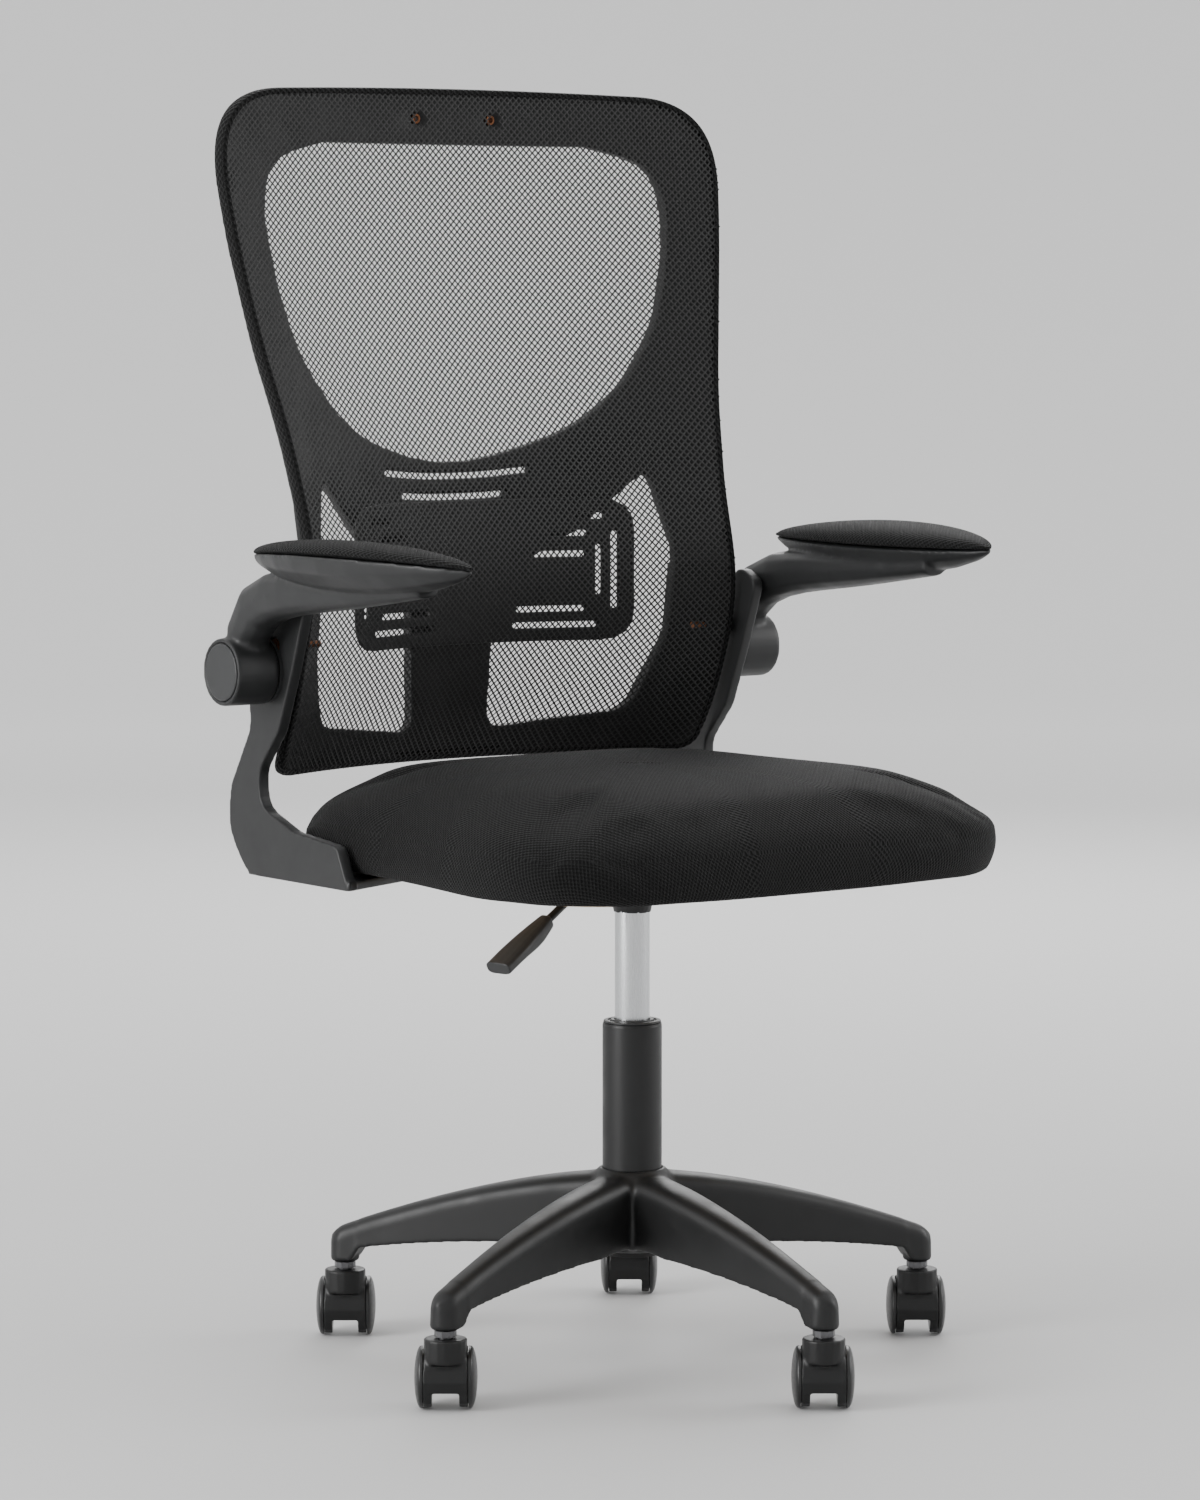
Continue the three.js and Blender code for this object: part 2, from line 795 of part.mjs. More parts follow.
// The bracket's side view, from the front tip of its foot, back and up to its top end
function bracketOutline() {
  const footBottom = footTop - footThickness;
  const fromPivot = (y, z, radius) => [pivotY + y, pivotZ + z, radius];
  return roundedShape(
    [
      [pivotY - 124, footBottom, 3],
      [pivotY + 32, footBottom, 30],
      fromPivot(62, -137, 40),
      fromPivot(57, -101, 30),
      fromPivot(26, -51, 20),
      fromPivot(barrelRadius - 2, -8, 20),
      fromPivot(8, 36, 20),
      fromPivot(-38, 73, 12),
      fromPivot(-62, 61, 12),
      fromPivot(-40, 1, 30),
      fromPivot(-18, -51, 30),
      fromPivot(12, -85, 22),
      fromPivot(11, -115, 22),
      fromPivot(-40, -133, 30),
      fromPivot(-106, -139, 8),
    ],
    3,
  );
}

function bracketFoot() {
  const side = bracketInner + bracketThickness - 1;
  const outline = shapeFrom([
    [side, pivotY - 124],
    [side, pivotY + 32],
    [footReach + 12, pivotY + 18],
    [footReach, pivotY + 6],
    [footReach, pivotY - 68],
    [footReach + 12, pivotY - 78],
    [footReach + 47, pivotY - 92],
  ]);
  return raised(outline, footTop - footThickness, footTop);
}

// A cylinder along X on the line of the bolt that holds the back
function onBackBolt(from, to, radius, segments = 16) {
  return rod([from, backBoltY, backBoltHeight], [to, backBoltY, backBoltHeight], radius, segments);
}

function onPivot(from, to, radius, segments = 16) {
  return rod([from, pivotY, pivotZ], [to, pivotY, pivotZ], radius, segments);
}

function armBracket() {
  const outer = bracketInner + bracketThickness;
  const plate = runAlongX(bracketOutline(), bracketInner, outer);
  const boss = onBackBolt(bracketInner - bossHeight, outer - 2, bossRadius);
  const seatBolts = [
    [footReach + 32, pivotY - 60],
    [footReach + 32, pivotY - 5],
    [footReach + 82, pivotY - 25],
  ].map(([x, y]) => rod([x, y, footTop - 20], [x, y, footTop + 5], screwHoleRadius, 10));
  return cut(
    joined(plate, bracketFoot(), boss),
    ...seatBolts,
    onBackBolt(0, farSide, backBoltRadius + gap, 12),
    onBackBolt(outer - backBoltHeadHeight - 0.4, farSide, backBoltHeadRadius + 0.5),
    onPivot(0, farSide, armBoltRadius + gap),
  );
}

// The bolt that holds the back frame's wing to the bracket
function backBolt() {
  const outer = bracketInner + bracketThickness;
  const shank = onBackBolt(bracketInner - backBoltReach, outer - 2, backBoltRadius, 12);
  const head = onBackBolt(outer - backBoltHeadHeight, outer, backBoltHeadRadius);
  return joined(shank, head);
}

function frictionRing() {
  const start = bracketInner + bracketThickness + gap;
  const [inner, outer] = [armBoltRadius + gap, barrelRadius - 1];
  const flat = ring(inner, outer, 0, ringThickness - gap, 24);
  return flat.rotate([0, 90, 0]).translate([start, pivotY, pivotZ]);
}

function pivotBolt() {
  const headStart = barrelOuter - capThickness - 6;
  const tail = bracketInner + 1;
  const shank = onPivot(tail, headStart + 1, armBoltRadius);
  const head = onPivot(headStart, headStart + 4, 9, 6);
  return joined(shank, head);
}

function pivotCap() {
  const disc = turned([
    [0, barrelOuter - capThickness],
    [capRadius, barrelOuter - capThickness],
    [capRadius, barrelOuter - 0.9],
    [capRadius - 0.8, barrelOuter - 0.2],
    [0, barrelOuter - 0.2],
  ]);
  return disc.rotate([0, 90, 0]).translate([0, pivotY, pivotZ]);
}

// Leans a point of the pad or tray about the pad's long line
function rolled(x, y, z) {
  const lean = padRoll * degrees;
  const [across, up] = [x - padX(y), z - padRim];
  return [
    padX(y) + across * Math.cos(lean) - up * Math.sin(lean),
    y,
    padRim + across * Math.sin(lean) + up * Math.cos(lean),
  ];
}

function padX(y) {
  return along(padFrontX, padBackX, (y - padFront) / (padBack - padFront));
}

// How far the pad reaches sideways from its long line: u is 1 on the sitter's side, -1 outside
function padReach(u, y) {
  const t = (y - padFront) / (padBack - padFront);
  const blunt = Math.sin(Math.PI * Math.min(Math.max(t, 0.004), 0.996)) ** 0.62;
  return -u * (u > 0 ? padInnerHalf : padOuterHalf) * blunt;
}

function tray() {
  const depth = (t) => trayDepth * Math.sin(Math.PI * Math.min(Math.max(t, 0.01), 0.99)) ** 0.55;
  return lofted(12, 10, (u, v, t) => {
    const s = t * t * (3 - 2 * t) * 0.5 + t * 0.5;
    const y = along(padBack, padFront, s);
    const low = v < 0 ? v * depth(s) : 0;
    return rolled(padX(y) + padReach(u, y), y, padRim + low);
  });
}

function armPad() {
  const start = padRim + gap;
  const height = (t) => padHeight * Math.sin(Math.PI * Math.min(Math.max(t, 0.006), 0.994)) ** 0.5;
  return lofted(12, 10, (u, v, t) => {
    const s = t * t * (3 - 2 * t) * 0.5 + t * 0.5;
    const y = along(padBack, padFront, s);
    const high = v > 0 ? squared(v, 0.85) * height(s) : 0;
    return rolled(padX(y) + padReach(u, y), y, start + high);
  });
}

// The arm's own beam: up from the barrel, over a bend, and forward under the tray
function armBeam() {
  const middle = new THREE.CatmullRomCurve3([
    new THREE.Vector3(beamX, pivotY - 4, pivotZ + 2),
    new THREE.Vector3(beamX, pivotY - 7, pivotZ + 32),
    new THREE.Vector3(beamX + 1, pivotY - 33, pivotZ + 58),
    new THREE.Vector3(beamX + 2, pivotY - 75, padRim - 31),
    new THREE.Vector3(beamX + 1, pivotY - 170, padRim - 25),
    new THREE.Vector3(beamX - 1, pivotY - 270, padRim - 16),
  ]);
  const halfHeight = smoothRule([[0, 14], [0.2, 21], [0.4, 19], [0.65, 14], [1, 9]]);
  const halfWidth = smoothRule([[0, 15], [0.2, 19], [0.45, 22], [0.75, 20], [1, 12]]);
  return lofted(12, 10, (u, v, t) => {
    const centre = middle.getPointAt(t);
    const tangent = middle.getTangentAt(t);
    const across = new THREE.Vector3(-1, 0, 0);
    const up = new THREE.Vector3().crossVectors(across, tangent).normalize();
    return centre
      .addScaledVector(across, squared(u, 0.8) * halfWidth(t))
      .addScaledVector(up, squared(v, 0.8) * halfHeight(t))
      .toArray();
  });
}

function armrest() {
  const barrel = onPivot(barrelStart, barrelOuter, barrelRadius, 24);
  const capRoom = onPivot(barrelOuter - capThickness - gap, farSide, capRadius + gap * 2, 24);
  const headRoom = onPivot(barrelOuter - capThickness - 6.5, farSide, 11);
  const shankRoom = onPivot(0, farSide, armBoltRadius + runningClearance);
  const aboveRim = lofted(4, 1, (u, v, t) =>
    rolled(beamX - u * 200, along(padBack + 100, padFront - 100, t), padRim - gap + (v + 1) * 60),
  );
  const besideBracket = block([0, padFront - 100, pivotZ - 79], [barrelStart, padBack + 100, pivotZ + 61]);
  const beam = cut(armBeam(), aboveRim, besideBracket);
  return cut(joined(barrel, beam, tray()), capRoom, headRoom, shankRoom);
}

function armSide(side) {
  return [
    node(`arm_bracket_${side}`, armBracket(), nylon()),
    node(`back_bolt_${side}`, backBolt(), brass()),
    node(`arm_friction_ring_${side}`, frictionRing(), hardPlastic()),
    node(`arm_pivot_bolt_${side}`, pivotBolt(), steel()),
    node(`arm_pivot_cap_${side}`, pivotCap(), hardPlastic()),
    node(`armrest_${side}`, armrest(), nylon()),
    node(`armrest_pad_${side}`, armPad(), fabric()),
  ];
}

// ---------------------------------------------------------------- back

// A height on the upper part of the back: 0 at its waist, 1 at its top
function upper(share) {
  return along(backWaist, backTop, share);
}

// How far back each side edge of the back stands, at each height
const edgeY = smoothRule([
  [backBottom, pivotY + 15],
  [backBottom + 74, pivotY - 20],
  [backBottom + 164, pivotY - 40],
  [backWaist, pivotY - 21],
  [upper(0.305), pivotY + 6],
  [upper(0.67), pivotY + 29],
  [upper(1), pivotY + 45],
]);

// Half the width of the back at each height
const backHalfWidth = smoothRule([
  [backBottom, bracketInner - 9],
  [backBottom + 114, bracketInner - 5],
  [backBottom + 214, bracketInner - 8],
  [upper(0.122), bracketInner - 1],
  [upper(0.366), bracketInner + 13],
  [upper(0.61), bracketInner + 25],
  [upper(0.793), bracketInner + 30],
  [upper(1), bracketInner + 28],
]);

// The line down the middle of the frame's front face
const spineY = smoothRule([
  [backBottom, pivotY + 83],
  [backBottom + 214, pivotY + 76],
  [upper(1), pivotY + 72],
]);

// How much the stretched mesh sags back between its side edges
const meshSag = smoothRule([
  [backBottom, 58],
  [backBottom + 74, 40],
  [backBottom + 164, 33],
  [upper(0.305), 37],
  [upper(0.67), 32],
  [upper(1), 23],
]);

function frameFront(x, z) {
  const share = Math.min(Math.abs(x / backHalfWidth(z)), 1.1);
  return along(spineY(z), edgeY(z), share ** 2);
}

function meshFront(x, z) {
  const share = Math.min(Math.abs(x / backHalfWidth(z)), 1.1);
  const front = edgeY(z) - meshThickness - meshLift;
  return front + meshSag(z) * (1 - share ** 2);
}

// A curved sheet: its front face follows a rule, and it is cut to shape afterwards
function curvedSheet(front, thickness) {
  const [width, height] = [2 * bracketInner + 80, backHeight + 20];
  const rows = Math.round(height / 60);
  const geometry = new THREE.BoxGeometry(width, thickness, height, 12, 1, rows);
  geometry.translate(0, thickness / 2, backBottom - 10 + height / 2);
  const position = geometry.attributes.position;
  for (let i = 0; i < position.count; i++) {
    const [x, z] = [position.getX(i), position.getZ(i)];
    position.setY(i, position.getY(i) + front(x, z));
  }
  return solidOf(geometry);
}

// The back's outline, drawn in X and Z and shrunk by an inset
function backOutline(inset) {
  const cornerStart = backTop - 83;
  const side = [];
  for (let z = backBottom + 22; z <= cornerStart; z += 42) {
    side.push([backHalfWidth(z) - inset, z]);
  }
  const top = backTop - inset;
  const shoulder = backHalfWidth(cornerStart) - inset;
  const corner = new THREE.CubicBezierCurve(
    new THREE.Vector2(shoulder, cornerStart),
    new THREE.Vector2(shoulder + 3, top - 30),
    new THREE.Vector2(shoulder - 22, top - 4),
    new THREE.Vector2(shoulder - 75, top - 3),
  );
  const bottom = new THREE.QuadraticBezierCurve(
    new THREE.Vector2(backHalfWidth(backBottom) - 21 - inset, backBottom + inset),
    new THREE.Vector2(backHalfWidth(backBottom) - inset, backBottom + inset),
    new THREE.Vector2(backHalfWidth(backBottom) - inset, backBottom + inset + 20),
  );
  const right = [
    ...bottom.getPoints(4).map((p) => [p.x, p.y]),
    ...side,
    ...corner.getPoints(7).map((p) => [p.x, p.y]),
  ];
  const left = right.map(([x, z]) => [-x, z]).reverse();
  return shapeFrom([...right, [0, top], ...left]);
}

function upperWindow() {
  const rim = windowHalfWidth;
  const height = windowTop - windowBottom;
  const side = [
    [72, 1],
    [16, 0.938],
    [0, 0.793],
    [7, 0.578],
    [24, 0.389],
    [60, 0.207],
    [115, 0.076],
  ].map(([inset, share]) => new THREE.Vector2(rim - inset, windowBottom + share * height));
  const other = side.map((p) => new THREE.Vector2(-p.x, p.y)).reverse();
  const loop = [...side, new THREE.Vector2(0, windowBottom), ...other];
  const shape = new THREE.Shape();
  shape.moveTo(loop[0].x, loop[0].y);
  shape.splineThru(loop.slice(1));
  return new THREE.Shape(shape.getPoints(3));
}

function lowerWindow(side) {
  const corners = [
    [spineHalfWidth, lowerWindowBottom, 14],
    [162, backBottom + 38, 24],
    [184, backBottom + 104, 40],
    [186, backBottom + 186, 30],
    [172, backBottom + 252, 8],
    [116, backBottom + 198, 20],
    [spineHalfWidth + 6, backBottom + 154, 20],
    [spineHalfWidth + 3, backBottom + 94, 20],
  ];
  return roundedShape(corners.map(([x, z, radius]) => [x * side, z, radius]));
}

// A shallow smiling slot under the upper window
function backSlot(halfLength, height, sag) {
  const halfThickness = 2.6;
  const upper = new THREE.QuadraticBezierCurve(
    new THREE.Vector2(-halfLength, height + sag + halfThickness),
    new THREE.Vector2(0, height - sag + halfThickness),
    new THREE.Vector2(halfLength, height + sag + halfThickness),
  );
  const lower = new THREE.QuadraticBezierCurve(
    new THREE.Vector2(halfLength, height + sag - halfThickness),
    new THREE.Vector2(0, height - sag - halfThickness),
    new THREE.Vector2(-halfLength, height + sag - halfThickness),
  );
  return new THREE.Shape([...upper.getPoints(6), ...lower.getPoints(6)]);
}

function backFrame() {
  const sheet = curvedSheet(frameFront, frameThickness);
  const openings = [
    upperWindow(),
    lowerWindow(1),
    lowerWindow(-1),
    backSlot(78, windowBottom - 12, 5),
    backSlot(56, windowBottom - 30, 2),
    backSlot(36, windowBottom - 51, 1),
  ].map((shape) => runAlongY(shape, cutFront, cutBack));
  const slotHalf = neckHeight / 2 + lumbarTravel + gap * 2;
  const neckSlot = block(
    [-neckHalfWidth - gap * 2, cutFront, neckZ - slotHalf],
    [neckHalfWidth + gap * 2, cutBack, neckZ + slotHalf],
  );
  const inserts = [-1, 1].map((side) => {
    const x = (side * insertSpacing) / 2;
    return rod([x, cutFront, insertHeight], [x, cutBack, insertHeight], insertRadius + gap, 14);
  });
  const boltHole = onBackBolt(-farSide, farSide, backBoltRadius + gap, 12);
  const bossRoom = [-1, 1].map((side) =>
    onBackBolt(side * (bracketInner - bossHeight - 0.5), side * farSide, bossRadius + 0.5),
  );
  const outline = runAlongY(backOutline(1.5), cutFront, cutBack);
  return cut(
    sheet.intersect(outline),
    ...openings,
    neckSlot,
    ...inserts,
    boltHole,
    ...bossRoom,
  );
}

function backMesh() {
  const sheet = curvedSheet(meshFront, meshThickness);
  const outline = runAlongY(backOutline(0), cutFront, cutBack);
  const inserts = [-1, 1].map((side) => {
    const x = (side * insertSpacing) / 2;
    return rod([x, cutFront, insertHeight], [x, cutBack, insertHeight], insertRadius + 1, 12);
  });
  return cut(sheet.intersect(outline), ...inserts);
}

function headrestInsert(side) {
  const x = (side * insertSpacing) / 2;
  const face = frameFront(x, insertHeight);
  const inRail = (from, to, radius, segments) =>
    rod([x, face + from, insertHeight], [x, face + to, insertHeight], radius, segments);
  const body = inRail(-1, frameThickness - 1, insertRadius, 14);
  return body.subtract(inRail(-5, frameThickness + 5, 2.5, 10));
}

function lumbarFront(x) {
  return along(lumbarCentreY, lumbarEdgeY, (x / lumbarHalfWidth) ** 2);
}

// The plate's slots, set in from its side edge and up from its middle: [outer, inner, low, high]
function lumbarSlots() {
  const slots = [
    [25, 51, 44.5, 49.5],
    [38, 71, 29.5, 34.5],
    [40, 87, 11.5, 16.5],
    [40, 101, -36.5, -31.5],
    [30, 105, -50.5, -45.5],
    [13.5, 18.5, -34, 34],
    [26.5, 31.5, -22, 22],
  ];
  return [-1, 1].flatMap((side) =>
    slots.map(([outer, inner, low, high]) => {
      const ends = [outer, inner].map((inset) => side * (lumbarHalfWidth - inset));
      return block(
        [Math.min(...ends), cutFront, lumbarCentreZ + low],
        [Math.max(...ends), cutBack, lumbarCentreZ + high],
      );
    }),
  );
}

function lumbarSupport() {
  const [low, high] = [lumbarCentreZ - lumbarHeight / 2, lumbarCentreZ + lumbarHeight / 2];
  const half = lumbarHalfWidth;
  const geometry = new THREE.BoxGeometry(2 * half + 10, lumbarThickness, lumbarHeight + 10, 14, 1, 1);
  geometry.translate(0, lumbarThickness / 2, lumbarCentreZ);
  const position = geometry.attributes.position;
  for (let i = 0; i < position.count; i++) {
    position.setY(i, position.getY(i) + lumbarFront(position.getX(i)));
  }
  const outline = roundedShape([
    [-half, low, lumbarCorner],
    [half, low, lumbarCorner],
    [half, high, lumbarCorner],
    [-half, high, lumbarCorner],
  ]);
  const plate = solidOf(geometry).intersect(runAlongY(outline, cutFront, cutBack));
  const neckEnd = spineY(lumbarCentreZ) + frameThickness + 3;
  const neck = block(
    [-neckHalfWidth, lumbarCentreY + 1, neckZ - neckHeight / 2],
    [neckHalfWidth, neckEnd, neckZ + neckHeight / 2],
  );
  return joined(cut(plate, ...lumbarSlots()), neck);
}

// The knob behind the spine that carries the lumbar plate up and down
function lumbarKnob() {
  const start = spineY(lumbarCentreZ) + frameThickness + 3 + gap;
  const knob = turned([
    [0, 0],
    [17, 0],
    [19, 3],
    [18, 9],
    [14, 11],
    [0, 11],
  ]);
  return knob.rotate([-90, 0, 0]).translate([0, start, neckZ]);
}

// ---------------------------------------------------------------- assembly

function assemble() {
  const chair = new THREE.Group();
  chair.add(
    node("base_star", baseStar(), nylon()),
    node("stand_tube", standTube(), paintedSteel()),
    node("guide_bushing", guideBushing(), hardPlastic()),
    node("thrust_bearing", thrustBearing(), steel()),
    node("retaining_clip", retainingClip(), steel()),
    node("gas_rod", gasRod(), steel()),
    node("rod_guide", rodGuide(), brass()),
    node("piston_tube", pistonTube(), chrome()),
    node("release_pin", releasePin(), steel()),
    node("seat_plate", seatPlate(), paintedSteel()),
    node("lever_rod", leverRod(), paintedSteel()),
    node("lever_paddle", leverPaddle(), hardPlastic()),
    node("seat_board", seatBoard(), plywood()),
    node("seat_cushion", seatCushion(), fabric()),
    node("back_frame", backFrame(), nylon()),
    node("back_mesh", backMesh(), fabric()),
    node("lumbar_support", lumbarSupport(), hardPlastic()),
    node("lumbar_knob", lumbarKnob(), hardPlastic()),
    node("headrest_insert_left", headrestInsert(1), brass()),
    node("headrest_insert_right", headrestInsert(-1), brass()),
  );
  for (let i = 0; i < legCount; i++) {
    chair.add(caster(i));
  }
  const mirrored = new THREE.Group();
  mirrored.scale.x = -1;
  chair.add(...armSide("left"));
  mirrored.add(...armSide("right"));
  chair.add(mirrored);
  return chair;
}

// The part's origin is the middle of the chair's footprint, on the floor
const chair = assemble();
const extent = new THREE.Box3().setFromObject(chair, true);
const middle = extent.getCenter(new THREE.Vector3());
chair.position.set(-middle.x, -middle.y, -extent.min.z);

export default chair;
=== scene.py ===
"""The looks of a swivel office chair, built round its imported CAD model. Metres throughout."""
import json
import math

import bmesh
import bpy
import numpy as np
from mathutils import Matrix, Vector


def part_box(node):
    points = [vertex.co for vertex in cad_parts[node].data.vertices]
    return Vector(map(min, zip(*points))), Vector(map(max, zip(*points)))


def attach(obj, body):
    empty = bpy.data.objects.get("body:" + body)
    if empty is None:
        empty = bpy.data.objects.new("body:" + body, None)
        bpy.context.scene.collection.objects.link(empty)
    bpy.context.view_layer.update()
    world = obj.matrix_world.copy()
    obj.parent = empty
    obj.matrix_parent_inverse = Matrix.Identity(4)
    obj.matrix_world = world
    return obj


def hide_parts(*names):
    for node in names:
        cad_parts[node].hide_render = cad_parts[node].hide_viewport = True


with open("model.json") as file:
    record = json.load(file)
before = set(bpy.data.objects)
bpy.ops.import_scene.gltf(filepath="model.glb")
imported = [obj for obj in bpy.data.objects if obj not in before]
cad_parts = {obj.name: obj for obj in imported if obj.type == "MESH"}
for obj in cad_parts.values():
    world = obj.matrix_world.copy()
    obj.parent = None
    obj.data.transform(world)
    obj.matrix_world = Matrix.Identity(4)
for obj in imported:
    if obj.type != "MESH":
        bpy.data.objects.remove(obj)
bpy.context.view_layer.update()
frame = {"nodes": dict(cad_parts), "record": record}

MM = 0.001
SHIFT_Y = -6.8636 * MM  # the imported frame's origin stands this far behind the gas column
SLOT = {s["node"]: s["material_slot"] for s in frame["record"]["subparts"]}
BODY = {n: b for b, ns in frame["record"]["behaviour"]["bodies"].items() for n in ns}
COLUMN = (0.0, SHIFT_Y, 0.0)  # where the gas column's axis meets the floor
UP = (0, 0, 1)
SPOKES = 5

# Sizes that the CAD model fixes, in millimetres: heights from the floor, the rest from the column
BACK_BOTTOM = 486.0
BACK_TOP = 1068.0
PIVOT_Y = 190.0
BRACKET = 230.0
WHEEL_RADIUS = 25.0
CASTER_HEADING = math.radians(54)

# The net's lattice and the cloths, in millimetres
NET_PITCH = 6.1  # between holes along a row
NET_ROW = 3.0  # between rows, each half a pitch along from the last
NET_STRAND = 1.5
NET_RIDGE = 0.55  # how far a strand's rim stands in front of its crossings
CLOTH_REPEAT = (4.0 * MM, 4.6 * MM)

SMOOTHING = 0.5  # the share of the way that one smoothing pass moves a point
CLOTH_BEND = math.radians(70)  # a cushion's cover stays smooth up to this angle


# ------------------------------------------------------------------ numbers and curves


def mix(a, b, t):
    return a + (b - a) * t


def clamp(v, low=0.0, high=1.0):
    return max(low, min(high, v))


def smooth_rule(pairs):
    """A smooth curve through given points, read as a value for each key."""
    keys = [k for k, _ in pairs]
    values = [v for _, v in pairs]
    last = len(pairs) - 1

    def slope(i):
        before, after = max(i - 1, 0), min(i + 1, last)
        return (values[after] - values[before]) / (keys[after] - keys[before])

    def read(key):
        held = clamp(key, keys[0], keys[last])
        following = next((i for i, k in enumerate(keys) if k >= held), last)
        n = clamp(following, 1, last)
        span = keys[n] - keys[n - 1]
        s = (held - keys[n - 1]) / span
        return (
            values[n - 1] * (2 * s**3 - 3 * s**2 + 1)
            + slope(n - 1) * span * (s**3 - 2 * s**2 + s)
            + values[n] * (3 * s**2 - 2 * s**3)
            + slope(n) * span * (s**3 - s**2)
        )

    return read


def signed_power(value, power):
    return math.copysign(abs(value) ** power, value)


def bezier(points, steps):
    """Points along a Bezier curve of any degree."""
    out = []
    n = len(points) - 1
    for k in range(steps + 1):
        t = k / steps
        weights = [math.comb(n, i) * (1 - t) ** (n - i) * t**i for i in range(n + 1)]
        out.append(tuple(sum(w * p[d] for w, p in zip(weights, points)) for d in (0, 1)))
    return out


# ------------------------------------------------------------------ materials


class Nodes:
    """Short calls for building one material's node tree."""

    def __init__(self, name):
        self.material = bpy.data.materials.new(name)
        self.material.use_nodes = True
        self.tree = self.material.node_tree
        self.shader = self.tree.nodes["Principled BSDF"]

    def add(self, kind, **inputs):
        node = self.tree.nodes.new(kind)
        for key, value in inputs.items():
            self.feed(node, key, value)
        return node

    def feed(self, node, key, value):
        socket = node.inputs[int(key[1:])] if key[0] == "_" else node.inputs[key.replace("_", " ")]
        if isinstance(value, bpy.types.NodeSocket):
            self.tree.links.new(value, socket)
        else:
            socket.default_value = value

    def math(self, operation, a, b=0.0, c=0.0):
        node = self.tree.nodes.new("ShaderNodeMath")
        node.operation = operation
        for i, v in enumerate((a, b, c)):
            self.feed(node, f"_{i}", v)
        return node.outputs[0]

    def place(self):
        return self.add("ShaderNodeTexCoord").outputs["Object"]

    def noise(self, scale, detail=3.0, rough=0.55, vector=None):
        node = self.add("ShaderNodeTexNoise", Scale=scale, Detail=detail, Roughness=rough)
        self.feed(node, "Vector", vector or self.place())
        return node.outputs["Fac"]

    def between(self, value, low, high, to_low, to_high):
        node = self.add("ShaderNodeMapRange")
        for key, v in zip(range(5), (value, low, high, to_low, to_high)):
            self.feed(node, f"_{key}", v)
        return node.outputs[0]

    def blend(self, factor, first, second):
        node = self.tree.nodes.new("ShaderNodeMix")
        node.data_type = "RGBA"
        self.feed(node, "_0", factor)
        self.feed(node, "_6", first)
        self.feed(node, "_7", second)
        return node.outputs[2]

    def bump(self, height, strength, distance, after=None):
        node = self.add("ShaderNodeBump", Strength=strength, Distance=distance, Height=height)
        if after:
            self.feed(node, "Normal", after)
        return node.outputs[0]

    def set(self, **values):
        for key, value in values.items():
            self.feed(self.shader, key, value)


def grey(level, warm=0.0):
    return (level * (1 + warm), level, level * (1 - warm), 1.0)


def moulded_plastic(name, level, rough, grain=2600.0, depth=0.00006):
    """Satin moulded plastic: a fine spark-eroded grain, faint flow marks and handled patches."""
    n = Nodes(name)
    cool = 0.03
    cloud = n.noise(14.0, 4.0)
    colour = n.blend(cloud, grey(level * 0.82, -cool), grey(level * 1.2, -cool))
    fleck = n.between(n.noise(5200.0, 1.0), 0.62, 0.78, 0.0, 1.0)
    n.set(Base_Color=n.blend(n.math("MULTIPLY", fleck, 0.35), colour, grey(level * 2.1, -cool)))
    n.set(Roughness=n.between(n.noise(38.0, 5.0), 0.3, 0.72, rough - 0.06, rough + 0.08))
    n.shader.inputs["Specular IOR Level"].default_value = 0.36
    grained = n.bump(n.noise(grain, 2.0), 0.35, depth)
    n.set(Normal=n.bump(n.noise(90.0, 2.0), 0.12, 0.0004, grained))
    return n.material


def worn_tread(name):
    """A caster wheel: dull plastic with fine scuffs round the tread."""
    n = Nodes(name)
    scuff = n.between(n.noise(420.0, 6.0, 0.75), 0.5, 0.75, 0.0, 1.0)
    n.set(Base_Color=n.blend(scuff, grey(0.0065, -0.03), grey(0.015, -0.02)))
    n.set(Roughness=n.between(scuff, 0.0, 1.0, 0.34, 0.56))
    n.set(Normal=n.bump(n.noise(1800.0, 3.0), 0.3, 0.00008))
    return n.material


def metal(name, colour, rough, drawn=(1.0, 1.0, 1.0), scale=700.0, mottle=0.1):
    """Metal whose polishing lines run along the axis that drawn shrinks. mottle is how much
    darker its dullest patches are."""
    n = Nodes(name)
    mapping = n.add("ShaderNodeMapping", Vector=n.place())
    mapping.inputs["Scale"].default_value = drawn
    lines = n.noise(scale, 4.0, 0.6, mapping.outputs[0])
    dark = tuple(c * (1 - mottle) for c in colour) + (1.0,)
    n.set(Base_Color=n.blend(n.noise(60.0, 3.0), dark, colour + (1.0,)))
    n.set(Roughness=n.between(lines, 0.3, 0.7, rough * 0.75, rough * 1.3))
    n.shader.inputs["Metallic"].default_value = 1.0
    n.set(Normal=n.bump(lines, 0.18, 0.00003))
    return n.material


